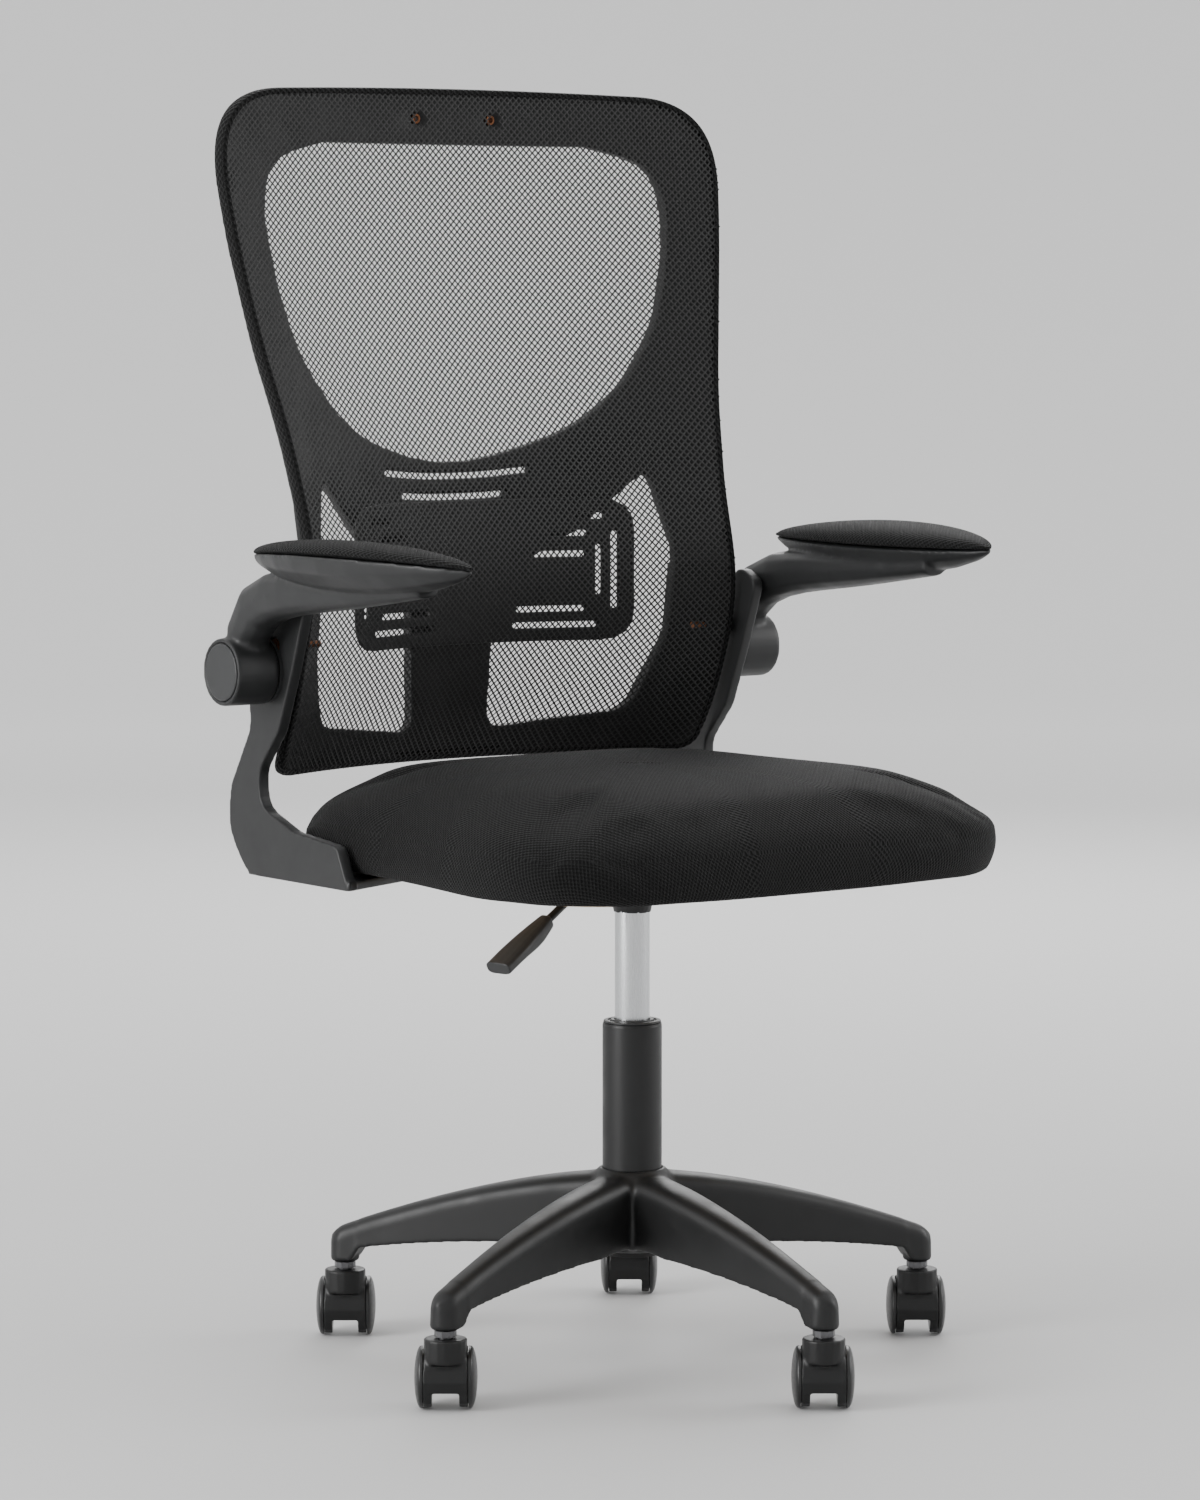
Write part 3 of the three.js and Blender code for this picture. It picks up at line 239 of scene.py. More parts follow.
def air_mesh(name, level, across, along, reach=(0.30, 0.34)):
    """Spacer fabric: staggered upright oval holes in a knitted face, laid out from the attribute
    'cloth', which holds each point's place on the flat cloth in metres. Each hole is coloured a
    near-black grey: painted shade for its depth. reach is each hole's half width and half height,
    as shares of the pattern's repeat."""
    n = Nodes(name)
    cloth = n.tree.nodes.new("ShaderNodeAttribute")
    cloth.attribute_name = "cloth"
    flat = n.add("ShaderNodeSeparateXYZ", Vector=cloth.outputs["Vector"])

    def from_hole(offset):
        parts = []
        for place, repeat, half in zip(flat.outputs[:2], (across, along), reach):
            cell = n.math("ADD", n.math("DIVIDE", place, repeat), 4000.0 + offset)
            off_centre = n.math("SUBTRACT", n.math("FRACT", cell), 0.5)
            parts.append(n.math("POWER", n.math("DIVIDE", off_centre, half), 2.0))
        return n.math("SQRT", n.math("ADD", *parts))

    radius = n.math("MINIMUM", from_hole(0.0), from_hole(0.5))
    thread_vs_painted_shade = n.between(radius, 0.72, 1.02, 0.0, 1.0)
    yarn = n.noise(2600.0, 3.0)
    lit = n.blend(yarn, grey(level * 0.7, -0.02), grey(level * 1.6, -0.02))
    # the holes take a near-black grey: painted shade for the depth inside each hole
    n.set(Base_Color=n.blend(thread_vs_painted_shade, grey(level * 0.06), lit))
    n.set(Roughness=n.between(yarn, 0.3, 0.7, 0.66, 0.86))
    n.shader.inputs["Sheen Weight"].default_value = 0.03
    n.shader.inputs["Sheen Roughness"].default_value = 0.5
    n.shader.inputs["Specular IOR Level"].default_value = 0.14
    knit = n.bump(n.noise(3400.0, 2.0), 0.35, 0.0002)
    n.set(Normal=n.bump(n.between(radius, 0.45, 1.35, 0.0, 1.0), 0.9, 0.0012, knit))
    return n.material


def net_strand(name):
    """The net's own yarn, slightly shiny and uneven."""
    n = Nodes(name)
    yarn = n.noise(2400.0, 3.0)
    n.set(Base_Color=n.blend(yarn, grey(0.0022), grey(0.0068)))
    n.set(Roughness=n.between(yarn, 0.3, 0.7, 0.5, 0.75))
    n.shader.inputs["Sheen Weight"].default_value = 0.02
    n.set(Normal=n.bump(n.noise(3800.0, 2.0), 0.4, 0.00012))
    return n.material


def plywood(name):
    """Bare plywood: long grain along Y."""
    n = Nodes(name)
    mapping = n.add("ShaderNodeMapping", Vector=n.place())
    mapping.inputs["Scale"].default_value = (1.0, 0.06, 1.0)
    grain = n.noise(320.0, 5.0, 0.65, mapping.outputs[0])
    n.set(Base_Color=n.blend(grain, (0.36, 0.23, 0.12, 1.0), (0.62, 0.46, 0.29, 1.0)))
    n.set(Roughness=n.between(grain, 0.3, 0.7, 0.55, 0.75))
    n.set(Normal=n.bump(grain, 0.3, 0.0002))
    return n.material


MATERIALS = {
    "base_nylon": moulded_plastic("base_nylon", 0.0062, 0.45),
    "caster_nylon": moulded_plastic("caster_nylon", 0.0042, 0.42, 3000.0),
    "caster_tread": worn_tread("caster_tread"),
    "zinc_steel": metal("zinc_steel", (0.55, 0.55, 0.56), 0.32, (1.0, 1.0, 0.2)),
    "black_paint": moulded_plastic("black_paint", 0.0062, 0.42, 1500.0, 0.00005),
    "satin_chrome": metal(
        "satin_chrome", (0.58, 0.59, 0.60), 0.26, (1.0, 1.0, 0.02), 1500.0, 0.04
    ),
    "brass": metal("brass", (0.24, 0.105, 0.055), 0.46, scale=900.0, mottle=0.35),
    # the caster stems' steel is kept far darker than the zinc parts: painted shade for the gap
    # between a leg's socket and its hood
    "stem_steel": metal("stem_steel", (0.13, 0.13, 0.135), 0.34, (1.0, 1.0, 0.2)),
    "plywood": plywood("plywood"),
    # both spacer fabrics have their holes painted near black: painted shade
    "seat_fabric": air_mesh("seat_fabric", 0.0058, *CLOTH_REPEAT),
    "pad_fabric": air_mesh("pad_fabric", 0.0085, *CLOTH_REPEAT),
    "back_net": net_strand("back_net"),
    "arm_plastic": moulded_plastic("arm_plastic", 0.0135, 0.45),
    "frame_plastic": moulded_plastic("frame_plastic", 0.0045, 0.52),
    "hard_plastic": moulded_plastic("hard_plastic", 0.022, 0.36, 3400.0, 0.00003),
}


def finish_of(slot):
    """A slot's material. A slot with none of its own is a small hard plastic part."""
    return MATERIALS.get(slot) or MATERIALS["hard_plastic"]


# ------------------------------------------------------------------ making pieces


def new_piece(name, mesh, body, slot, nodes, bend=math.radians(38)):
    """A finished piece: its object, its smooth shading, its material, its body and its slot."""
    mesh.materials.clear()
    mesh.materials.append(finish_of(slot))
    mesh.polygons.foreach_set("use_smooth", [True] * len(mesh.polygons))
    mesh.set_sharp_from_angle(angle=bend)
    piece = bpy.data.objects.new(name, mesh)
    bpy.context.scene.collection.objects.link(piece)
    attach(piece, body)
    if nodes:
        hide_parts(*nodes)
    return piece


def applied(piece):
    """The piece's mesh with its modifiers worked in."""
    depsgraph = bpy.context.evaluated_depsgraph_get()
    mesh = bpy.data.meshes.new_from_object(piece.evaluated_get(depsgraph))
    old = piece.data
    piece.modifiers.clear()
    piece.data = mesh
    bpy.data.meshes.remove(old)
    return mesh


def worked(mesh, *modifiers):
    """A mesh with modifiers worked in: each is (kind, settings)."""
    scratch = bpy.data.objects.new("scratch", mesh)
    bpy.context.scene.collection.objects.link(scratch)
    for kind, settings in modifiers:
        modifier = scratch.modifiers.new(kind, kind)
        for key, value in settings.items():
            setattr(modifier, key, value)
    result = applied(scratch)
    bpy.data.objects.remove(scratch)
    return result


def remeshed(voxel):
    return "REMESH", {"mode": "VOXEL", "voxel_size": voxel}


def smoothed(passes):
    return "SMOOTH", {"factor": SMOOTHING, "iterations": passes}


def subdivided(mesh):
    return worked(mesh, ("SUBSURF", {"levels": 1, "render_levels": 1}))


def softened(node, voxel, passes):
    """A copy of a CAD node's mesh with its facets and hard edges rounded, as moulding leaves
    them."""
    mesh = frame["nodes"][node].data.copy()
    return worked(mesh, ("WELD", {"merge_threshold": 0.00002}), remeshed(voxel), smoothed(passes))


def soften(node, voxel, passes):
    """The visual piece of a CAD node that only needs its edges rounded."""
    mesh = softened(node, voxel, passes)
    new_piece(f"{node}_moulded", mesh, BODY[node], SLOT[node], [node])


def mesh_from(name, points, faces):
    mesh = bpy.data.meshes.new(name)
    mesh.from_pydata([tuple(p) for p in points], [], faces)
    mesh.update()
    return mesh


def lathe(name, profile, origin, axis, steps=64):
    """A solid turned about an axis: profile is (radius, distance along) in millimetres. One that
    starts off the axis is taken as a closed loop, and makes a ring."""
    direction = Vector(axis).normalized()
    side = direction.orthogonal().normalized()
    other = direction.cross(side)
    points, rings = [], []
    for radius, distance in profile:
        centre = Vector(origin) + direction * distance * MM
        if radius < 1e-6:
            rings.append([len(points)] * steps)
            points.append(centre)
            continue
        rings.append([len(points) + k for k in range(steps)])
        for k in range(steps):
            a = 2 * math.pi * k / steps
            points.append(centre + (side * math.cos(a) + other * math.sin(a)) * radius * MM)
    faces = []
    closed = profile[0][0] > 1e-6
    for i in range(len(rings) if closed else len(rings) - 1):
        low, high = rings[i], rings[(i + 1) % len(rings)]
        for k in range(steps):
            m = (k + 1) % steps
            corners = list(dict.fromkeys((low[k], low[m], high[m], high[k])))
            if len(corners) > 2:
                faces.append(corners)
    mesh = mesh_from(name, points, faces)
    oriented(mesh)
    return mesh


def oriented(mesh):
    """Turns every face of a closed mesh outwards."""
    work = bmesh.new()
    work.from_mesh(mesh)
    bmesh.ops.recalc_face_normals(work, faces=work.faces)
    work.to_mesh(mesh)
    work.free()


def eased(profile, radius, steps=3):
    """A lathe profile with each corner rounded by up to radius, in millimetres."""
    most = 0.45  # of either side of a corner
    out = []
    count = len(profile)
    closed = profile[0][0] > 1e-6
    for i, corner in enumerate(profile):
        if not closed and i in (0, count - 1):
            out.append(corner)
            continue
        here = Vector(corner)
        before, after = Vector(profile[i - 1]), Vector(profile[(i + 1) % count])
        reach = min(radius, (here - before).length * most, (after - here).length * most)
        start = here + (before - here).normalized() * reach
        end = here + (after - here).normalized() * reach
        out.extend(bezier([tuple(start), tuple(here), tuple(end)], steps))
    return out


# ------------------------------------------------------------------ gas column


def turned(node, profile, corner):
    """The visual piece of one of the column's tubes."""
    name = f"{node}_turned"
    mesh = lathe(name, eased(profile, corner), COLUMN, UP, 96)
    new_piece(name, mesh, BODY[node], SLOT[node], [node])


def column_pieces():
    """The turned tubes, from the casing in the base up to the bright cylinder."""
    low, high = (corner.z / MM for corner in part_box("stand_tube"))
    casing = [
        (23.4, low), (24.2, low), (25.0, low + 5), (25.0, high - 2.2), (24.6, high - 1.2),
        (24.6, high), (23.4, high), (23.4, high - 12),
    ]
    turned("stand_tube", casing, 0.5)
    bushing = [
        (15.2, high - 57), (22.9, high - 57), (22.9, high + 0.4), (24.1, high + 0.4),
        (24.1, high + 1.6), (23.2, high + 2.1), (20.6, high + 2.1), (20.2, high + 0.9),
        (18.4, high + 0.9), (18.0, high + 2.9), (15.2, high + 2.9),
    ]
    turned("guide_bushing", bushing, 0.35)
    foot, top = (corner.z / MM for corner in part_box("piston_tube"))
    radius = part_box("piston_tube")[1].x / MM
    cylinder = [
        (radius - 1.5, foot), (radius, foot), (radius, top - 20), (radius - 0.7, top),
        (radius - 4, top), (radius - 4, top - 6), (radius - 1.5, top - 7),
    ]
    turned("piston_tube", cylinder, 0.5)


# ------------------------------------------------------------------ star base

# In millimetres. A pair is at the column's axis and at the stems.
STEM_CIRCLE = 258.0
LEG_END = STEM_CIRCLE + 12.0
TIP_START = STEM_CIRCLE - 17.0
TIP_DROP = 8.0  # how far along the tip its underside takes to reach the socket's
SOCKET_BOTTOM = 66.0
LEG_WALL = 3.5
LEG_WIDTH = (44.0, 25.0)
LEG_TOP = (159.0, 98.0)
LEG_UNDERSIDE = (96.0, 77.0)
LEG_CROWN = 15.0
LEG_DRAFT = 0.8  # how much wider each side is at its lower edge
HEADINGS = [-90.0 + 72.0 * i for i in range(SPOKES)]


def leg_section(radius, inset, rim):
    """A leg's slice as (sideways, height): over its crowned top from one lower corner to the
    other, both at the height rim."""
    share = max(radius, 0.0) / STEM_CIRCLE
    half = mix(*LEG_WIDTH, min(share * 1.15, 1.0)) / 2
    high = mix(*LEG_TOP, share**1.6) - inset
    side = half - inset
    shoulder = high - LEG_CROWN
    fullness = 0.8  # under 1 is squarer than an ellipse
    arc = [
        (
            side * signed_power(math.cos(a), fullness),
            shoulder + (high - shoulder) * math.sin(a) ** fullness,
        )
        for a in [math.pi * k / 20 for k in range(21)]
    ]
    return [(side + LEG_DRAFT, rim)] + arc + [(-side - LEG_DRAFT, rim)]


def leg_underside(radius):
    share = max(radius, 0.0) / STEM_CIRCLE
    return mix(*LEG_UNDERSIDE, share**2.4)


def swept(sections):
    """A closed mesh through loops of points, all of one length, with its two ends capped."""
    width = len(sections[0])
    points = [p for loop in sections for p in loop]
    faces = [tuple(reversed(range(width)))]
    for i in range(len(sections) - 1):
        for k in range(width):
            m = (k + 1) % width
            faces.append((i * width + k, i * width + m, (i + 1) * width + m, (i + 1) * width + k))
    faces.append(tuple((len(sections) - 1) * width + k for k in range(width)))
    return points, faces


def leg_parts(angle):
    """One leg pointing outwards: an open-bottomed channel and its closed tip."""
    turn = Matrix.Rotation(math.radians(angle), 3, "Z")

    def placed(radius, loop):
        return [turn @ Vector((radius, side, z)) for side, z in loop]

    channel = []
    for radius in np.linspace(20.0, STEM_CIRCLE - 14.0, 40):
        rim = leg_underside(radius)
        outer = leg_section(radius, 0.0, rim)
        inner = leg_section(radius, LEG_WALL, rim)
        channel.append(placed(radius, outer + inner[::-1]))
    tip = []
    for radius in np.linspace(TIP_START, LEG_END, 14):
        past = clamp((radius - STEM_CIRCLE) / (LEG_END - STEM_CIRCLE))
        narrow = math.sqrt(max(1 - past**2, 0.06))
        drop = clamp((radius - TIP_START) / TIP_DROP)
        rim = mix(leg_underside(radius), SOCKET_BOTTOM + 2.0, drop)
        lowered = 5.0 * past**2  # what the top rounds down by, and the underside doesn't
        loop = [
            (x * narrow, z - (lowered if z > 85 else 0))
            for x, z in leg_section(radius, 0.3, rim)
        ]
        tip.append(placed(radius, loop))
    return [swept(channel), swept(tip)]


def star_out(heading):
    """The point on the floor under a leg's stem."""
    a = math.radians(heading)
    return (STEM_CIRCLE * MM * math.cos(a), STEM_CIRCLE * MM * math.sin(a) + SHIFT_Y, 0.0)


def hub_nearness(point):
    """How much a point is rounded: fully where the legs meet the hub, and not at all inside its
    bore or well out along a leg."""
    far = 68 * MM
    fade = 22 * MM
    bore = 26.5 * MM
    bore_fade = 4 * MM
    out = math.hypot(point.x, point.y - SHIFT_Y)
    return clamp((far - out) / fade) * clamp((out - bore) / bore_fade)


def base_piece():
    """The moulded star: five channel legs running into one hub, rounded where they meet it."""
    points, faces = [], []
    for heading in HEADINGS:
        for part_points, part_faces in leg_parts(heading):
            start = len(points)
            points += [p * MM + Vector(COLUMN) for p in part_points]
            faces += [tuple(start + k for k in face) for face in part_faces]
    hub = [(25.3, 92), (31, 92), (34.5, 97), (36, 134), (31, 156), (28, 162), (25.3, 162)]
    pieces = [mesh_from("legs", points, faces), lathe("hub", eased(hub, 2.0), COLUMN, UP, 96)]
    socket = [
        (6.0, SOCKET_BOTTOM), (10.8, SOCKET_BOTTOM), (12.4, SOCKET_BOTTOM + 2), (12.0, 84),
        (6.0, 84),
    ]
    pieces += [lathe("socket", eased(socket, 1.2), star_out(h), UP, 40) for h in HEADINGS]
    work = bmesh.new()
    for mesh in pieces:
        work.from_mesh(mesh)
    joined = bpy.data.meshes.new("base_star")
    work.to_mesh(joined)
    work.free()
    mesh = worked(joined, remeshed(0.0014), smoothed(5))
    mesh = blurred(mesh, [hub_nearness(v.co) for v in mesh.vertices], 60)
    new_piece("base_star_moulded", mesh, "base", "base_nylon", ["base_star"])


def blurred(mesh, weights, passes):
    """Rounds a mesh by as much as each point's weight says."""
    scratch = bpy.data.objects.new("scratch", mesh)
    bpy.context.scene.collection.objects.link(scratch)
    group = scratch.vertex_groups.new(name="rounded")
    for i, weight in enumerate(weights):
        if weight > 0.01:
            group.add([i], weight, "REPLACE")
    modifier = scratch.modifiers.new("smooth", "SMOOTH")
    modifier.factor, modifier.iterations, modifier.vertex_group = SMOOTHING, passes, "rounded"
    result = applied(scratch)
    bpy.data.objects.remove(scratch)
    return result


# ------------------------------------------------------------------ casters


def wheel_profile():
    """A wheel as (radius, distance from the caster's middle): from its bore outwards, a drum under
    the hood, a flat tread, and a deep domed outer face."""
    inner_face, tread_start, outer_face = 11.4, 18.5, 25.5
    tread_end = tread_start + 1.6
    bore, bore_end = 3.4, outer_face - 5.5
    drum = 21.4
    dome = [
        (WHEEL_RADIUS * math.cos(a), tread_end + (outer_face - tread_end) * math.sin(a))
        for a in [math.pi / 2 * k / 12 for k in range(13)]
    ]
    dome[-1] = (0.0, outer_face)
    return [
        (0.0, bore_end), (bore, bore_end), (bore, inner_face), (drum, inner_face),
        (drum, tread_start), (WHEEL_RADIUS, tread_start), *dome,
    ]


def shoulders_rounded(hood):
    """Rounds a hood strongly round its shoulders, easing off above and below them."""
    low, high = 31 * MM, 53 * MM
    middle, half = (low + high) / 2, (high - low) / 2
    weights = [clamp(1.6 * (1 - abs(v.co.z - middle) / half)) for v in hood.vertices]
    return blurred(hood, weights, 34)


def caster_pieces():
    """Each caster's hood and its two wheels. Its stem and axle stay the CAD's own."""
    axis = Vector((-math.sin(CASTER_HEADING), math.cos(CASTER_HEADING), 0))
    for i in range(1, SPOKES + 1):
        low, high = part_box(f"caster_axle_{i}")
        centre = (low + high) / 2
        node = f"caster_hood_{i}"
        hood = worked(shoulders_rounded(softened(node, 0.0008, 5)), smoothed(2))
        new_piece(f"{node}_moulded", hood, f"caster_{i}", "caster_nylon", [node])
        for side in "ab":
            node = f"caster_wheel_{side}_{i}"
            here = sum(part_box(node), Vector()) / 2 - centre
            way = axis if here.dot(axis) > 0 else -axis
            mesh = lathe(f"{node}_turned", wheel_profile(), centre, way, 72)
            new_piece(f"{node}_turned", mesh, BODY[node], SLOT[node], [node])


# ------------------------------------------------------------------ the back


def upper(share):
    """A height in the back's wide upper part, as a share of it."""
    return mix(BACK_BOTTOM + 254, BACK_TOP, share)


# By height: the back's side edge in Y, its half width, and how far the net's middle lies behind
# that edge
edge_y = smooth_rule([
    (BACK_BOTTOM, PIVOT_Y + 15), (BACK_BOTTOM + 74, PIVOT_Y - 20),
    (BACK_BOTTOM + 164, PIVOT_Y - 40), (BACK_BOTTOM + 254, PIVOT_Y - 21),
    (upper(0.305), PIVOT_Y + 6), (upper(0.67), PIVOT_Y + 29), (upper(1), PIVOT_Y + 45),
])
back_half = smooth_rule([
    (BACK_BOTTOM, BRACKET - 9), (BACK_BOTTOM + 114, BRACKET - 5), (BACK_BOTTOM + 214, BRACKET - 8),
    (upper(0.122), BRACKET - 1), (upper(0.366), BRACKET + 13), (upper(0.61), BRACKET + 25),
    (upper(0.793), BRACKET + 30), (upper(1), BRACKET + 28),
])
net_sag = smooth_rule([
    (BACK_BOTTOM, 58), (BACK_BOTTOM + 74, 40), (BACK_BOTTOM + 164, 33), (upper(0.305), 37),
    (upper(0.67), 32), (upper(1), 23),
])


def net_front(x, z):
    """The net's Y at a place on the back, in millimetres from the column."""
    share = min(abs(x / back_half(z)), 1.1)
    return edge_y(z) - 3.2 + net_sag(z) * (1 - share**2)


def back_outline(inset, step=6.0):
    """The back's outline in X and Z, from the middle of its bottom round its left side to its top,
    then back down its right side."""
    corner_start = BACK_TOP - 83
    top = BACK_TOP - inset
    foot = back_half(BACK_BOTTOM)
    bottom = bezier([
        (foot - 21 - inset, BACK_BOTTOM + inset), (foot - inset, BACK_BOTTOM + inset),
        (foot - inset, BACK_BOTTOM + inset + 20),
    ], 6)
    heights = np.arange(BACK_BOTTOM + 26, corner_start - 3, step)
    side = [(back_half(z) - inset, z) for z in heights]
    shoulder = back_half(corner_start) - inset
    corner = bezier([
        (shoulder, corner_start), (shoulder + 3, top - 30), (shoulder - 22, top - 4),
        (shoulder - 75, top - 3),
    ], 24)
    ends = corner[-1][0]
    rail = [(x, mix(top - 3, top, 1 - (x / ends) ** 2)) for x in np.linspace(ends, 0, 24)[1:-1]]
    base = [(x, BACK_BOTTOM + inset) for x in np.linspace(0, foot - 21 - inset, 24)[1:-1]]
    left = [(0.0, BACK_BOTTOM + inset)] + base + bottom + side + corner + rail + [(0.0, top)]
    return left + [(-x, z) for x, z in reversed(left[1:-1])]


def inside(x, z, loop):
    """Whether points are inside a closed loop: arrays in, array out."""
    found = np.zeros(x.shape, bool)
    px, pz = np.array(loop).T
    qx, qz = np.roll(px, -1), np.roll(pz, -1)
    for ax, az, bx, bz in zip(px, pz, qx, qz):
        crosses = (az > z) != (bz > z)
        if az != bz:
            found ^= crosses & (x < (bx - ax) * (z - az) / (bz - az) + ax)
    return found


def net_piece():
    """The stretched net: a lattice of strands with open holes, each strand ridged forwards."""
    loop = back_outline(3.0)
    reach = 300.0  # more than the back's half width
    columns = int(reach / (NET_PITCH / 2))
    rows = int((BACK_TOP - BACK_BOTTOM) / NET_ROW) + 2
    insert_x, insert_z, clear = 39.0, 1042.0, 5.6  # the headrest inserts, and the gap round them
    points, faces, index = [], [], {}
    hole_w = NET_PITCH / 2 - NET_STRAND * 0.72
    hole_h = NET_ROW - NET_STRAND * 0.62

    def vertex(x, z, lift):
        key = (round(x, 3), round(z, 3))
        if key not in index:
            index[key] = len(points)
            points.append((x * MM, (net_front(x, z) + lift) * MM + SHIFT_Y, z * MM))
        return index[key]

    cells = []
    for row in range(rows):
        z = BACK_BOTTOM + row * NET_ROW
        start = 0.0 if row % 2 == 0 else NET_PITCH / 2
        for column in range(-columns, columns + 1):
            cells.append((column * NET_PITCH + start, z))
    at = np.array(cells)
    keep = inside(at[:, 0], at[:, 1], loop)
    for sign in (-1, 1):
        keep &= (at[:, 0] - sign * insert_x) ** 2 + (at[:, 1] - insert_z) ** 2 > clear**2
    for x, z in at[keep]:
        ends = [(NET_PITCH / 2, 0), (0, NET_ROW), (-NET_PITCH / 2, 0), (0, -NET_ROW)]
        crossings = [vertex(x + dx, z + dz, 0.0) for dx, dz in ends]
        hole = [(hole_w, 0), (0, hole_h), (-hole_w, 0), (0, -hole_h)]
        rim = [vertex(x + dx, z + dz, NET_RIDGE) for dx, dz in hole]
        for k in range(4):
            m = (k + 1) % 4
            faces.append((crossings[k], crossings[m], rim[m], rim[k]))
    name = "back_net_stretched"
    mesh = mesh_from(name, points, faces)
    return new_piece(name, mesh, "seat", "back_net", ["back_mesh"], math.radians(80))


def net_edge():
    """The net's turned edge, wrapped round the frame's rim and stapled behind it."""
    loop = back_outline(0.0, 5.0)
    count = len(loop)
    section = [  # (in from the outline, back from the net's face): the outer side, then the inner
        (5.2, 0.0), (2.4, -0.3), (0.9, 0.4), (0.0, 3.0), (0.0, 9.0), (0.9, 13.5), (4.4, 16.2),
        (9.0, 17.4), (9.0, 16.2), (5.0, 15.0), (2.2, 12.6), (1.4, 8.6), (1.6, 3.4), (5.2, 1.2),
    ]
    points, flat = [], []
    run = 0.0
    for i, (x, z) in enumerate(loop):
        before, after = Vector(loop[i - 1]), Vector(loop[(i + 1) % count])
        along = (after - before).normalized()
        inward = Vector((-along.y, along.x))
        run += (Vector((x, z)) - before).length if i else 0.0
        walked = 0.0
        for k, (depth, back) in enumerate(section):
            px, pz = x + inward.x * depth, z + inward.y * depth
            y = net_front(x, z) + (net_front(px, pz) - net_front(x, z)) * 0.9 + back
            points.append((px * MM, y * MM + SHIFT_Y, pz * MM))
            if k:
                walked += (Vector(section[k]) - Vector(section[k - 1])).length
            flat.append((run * MM, walked * MM, 0.0))
    width = len(section)
    faces = []
    for i in range(count):
        j = (i + 1) % count
        for k in range(width):
            m = (k + 1) % width
            faces.append((i * width + k, i * width + m, j * width + m, j * width + k))
    mesh = mesh_from("back_net_edge", points, faces)
    oriented(mesh)
    lay_cloth(mesh, flat)
    piece = new_piece("back_net_edge", mesh, "seat", "back_net", [])
    piece.data.materials[0] = EDGE_CLOTH
    return piece


def lay_cloth(mesh, flat):
    """Stores each point's place on the flat cloth, in metres, for the fabric's pattern."""
    attribute = mesh.attributes.new("cloth", "FLOAT_VECTOR", "POINT")
    attribute.data.foreach_set("vector", np.array(flat, np.float32).ravel())


# the wrapped edge's holes are painted near black as well: painted shade
EDGE_CLOTH = air_mesh("back_net_wrapped", 0.0036, NET_PITCH * MM, NET_ROW * MM * 2, (0.30, 0.30))


# ------------------------------------------------------------------ cushions


SEAT_HALF_DEPTH = 240.0
SEAT_MIDDLE_Y = -10.0
SEAT_FRONT_HALF = 250.0
SEAT_SQUARENESS = 0.44  # 1 is an ellipse, 0 a rectangle
AROUND = 144  # points round a cushion


def seat_half_width(y):
    """Full width ahead of the arm brackets, easing in to pass between them."""
    t = clamp((y + 170) / 220)
    return mix(SEAT_FRONT_HALF, BRACKET - 1.5, t * t * (3 - 2 * t))


def seat_plan(direction):
    """A point of the seat's rounded plan, in a direction from its middle."""
    across = signed_power(math.cos(direction), SEAT_SQUARENESS)
    y = signed_power(math.sin(direction), SEAT_SQUARENESS) * SEAT_HALF_DEPTH + SEAT_MIDDLE_Y
    return across * seat_half_width(y), y


def crowned(name, outline, profile, middle):
    """A closed cushion: profile gives (share of the outline, height) from the middle of its top
    over its side to the middle of its underside. Also lays its cloth out flat from the middle."""
    around = AROUND
    points = [Vector((middle[0], middle[1], profile[0][1]))]
    flat = [(0.0, 0.0, 0.0)]
    directions = [2 * math.pi * k / around for k in range(around)]
    rims = [Vector(outline(a)) for a in directions]
    walked = [0.0] * around
    before = [points[0]] * around
    for share, height in profile[1:-1]:
        for k, rim in enumerate(rims):
            x = mix(middle[0], rim.x, share)
            y = mix(middle[1], rim.y, share)
            here = Vector((x, y, height(k) if callable(height) else height))
            walked[k] += (here - before[k]).length
            before[k] = here
            way = (rim - Vector(middle)).normalized()
            points.append(here)
            flat.append((way.x * walked[k] * MM, way.y * walked[k] * MM, 0.0))
    points.append(Vector((middle[0], middle[1], profile[-1][1])))
    flat.append((0.0, 0.0, 0.0))
    rings = len(profile) - 2
    faces = [(0, 1 + k, 1 + (k + 1) % around) for k in range(around)]
    for r in range(rings - 1):
        for k in range(around):
            m = (k + 1) % around
            a, b = 1 + r * around, 1 + (r + 1) * around
            faces.append((a + k, b + k, b + m, a + m))
    last = 1 + (rings - 1) * around
    faces += [(last + (k + 1) % around, last + k, len(points) - 1) for k in range(around)]
    scaled = [(p.x * MM, p.y * MM + SHIFT_Y, p.z * MM) for p in points]
    mesh = mesh_from(name, scaled, faces)
    oriented(mesh)
    lay_cloth(mesh, flat)
    return mesh


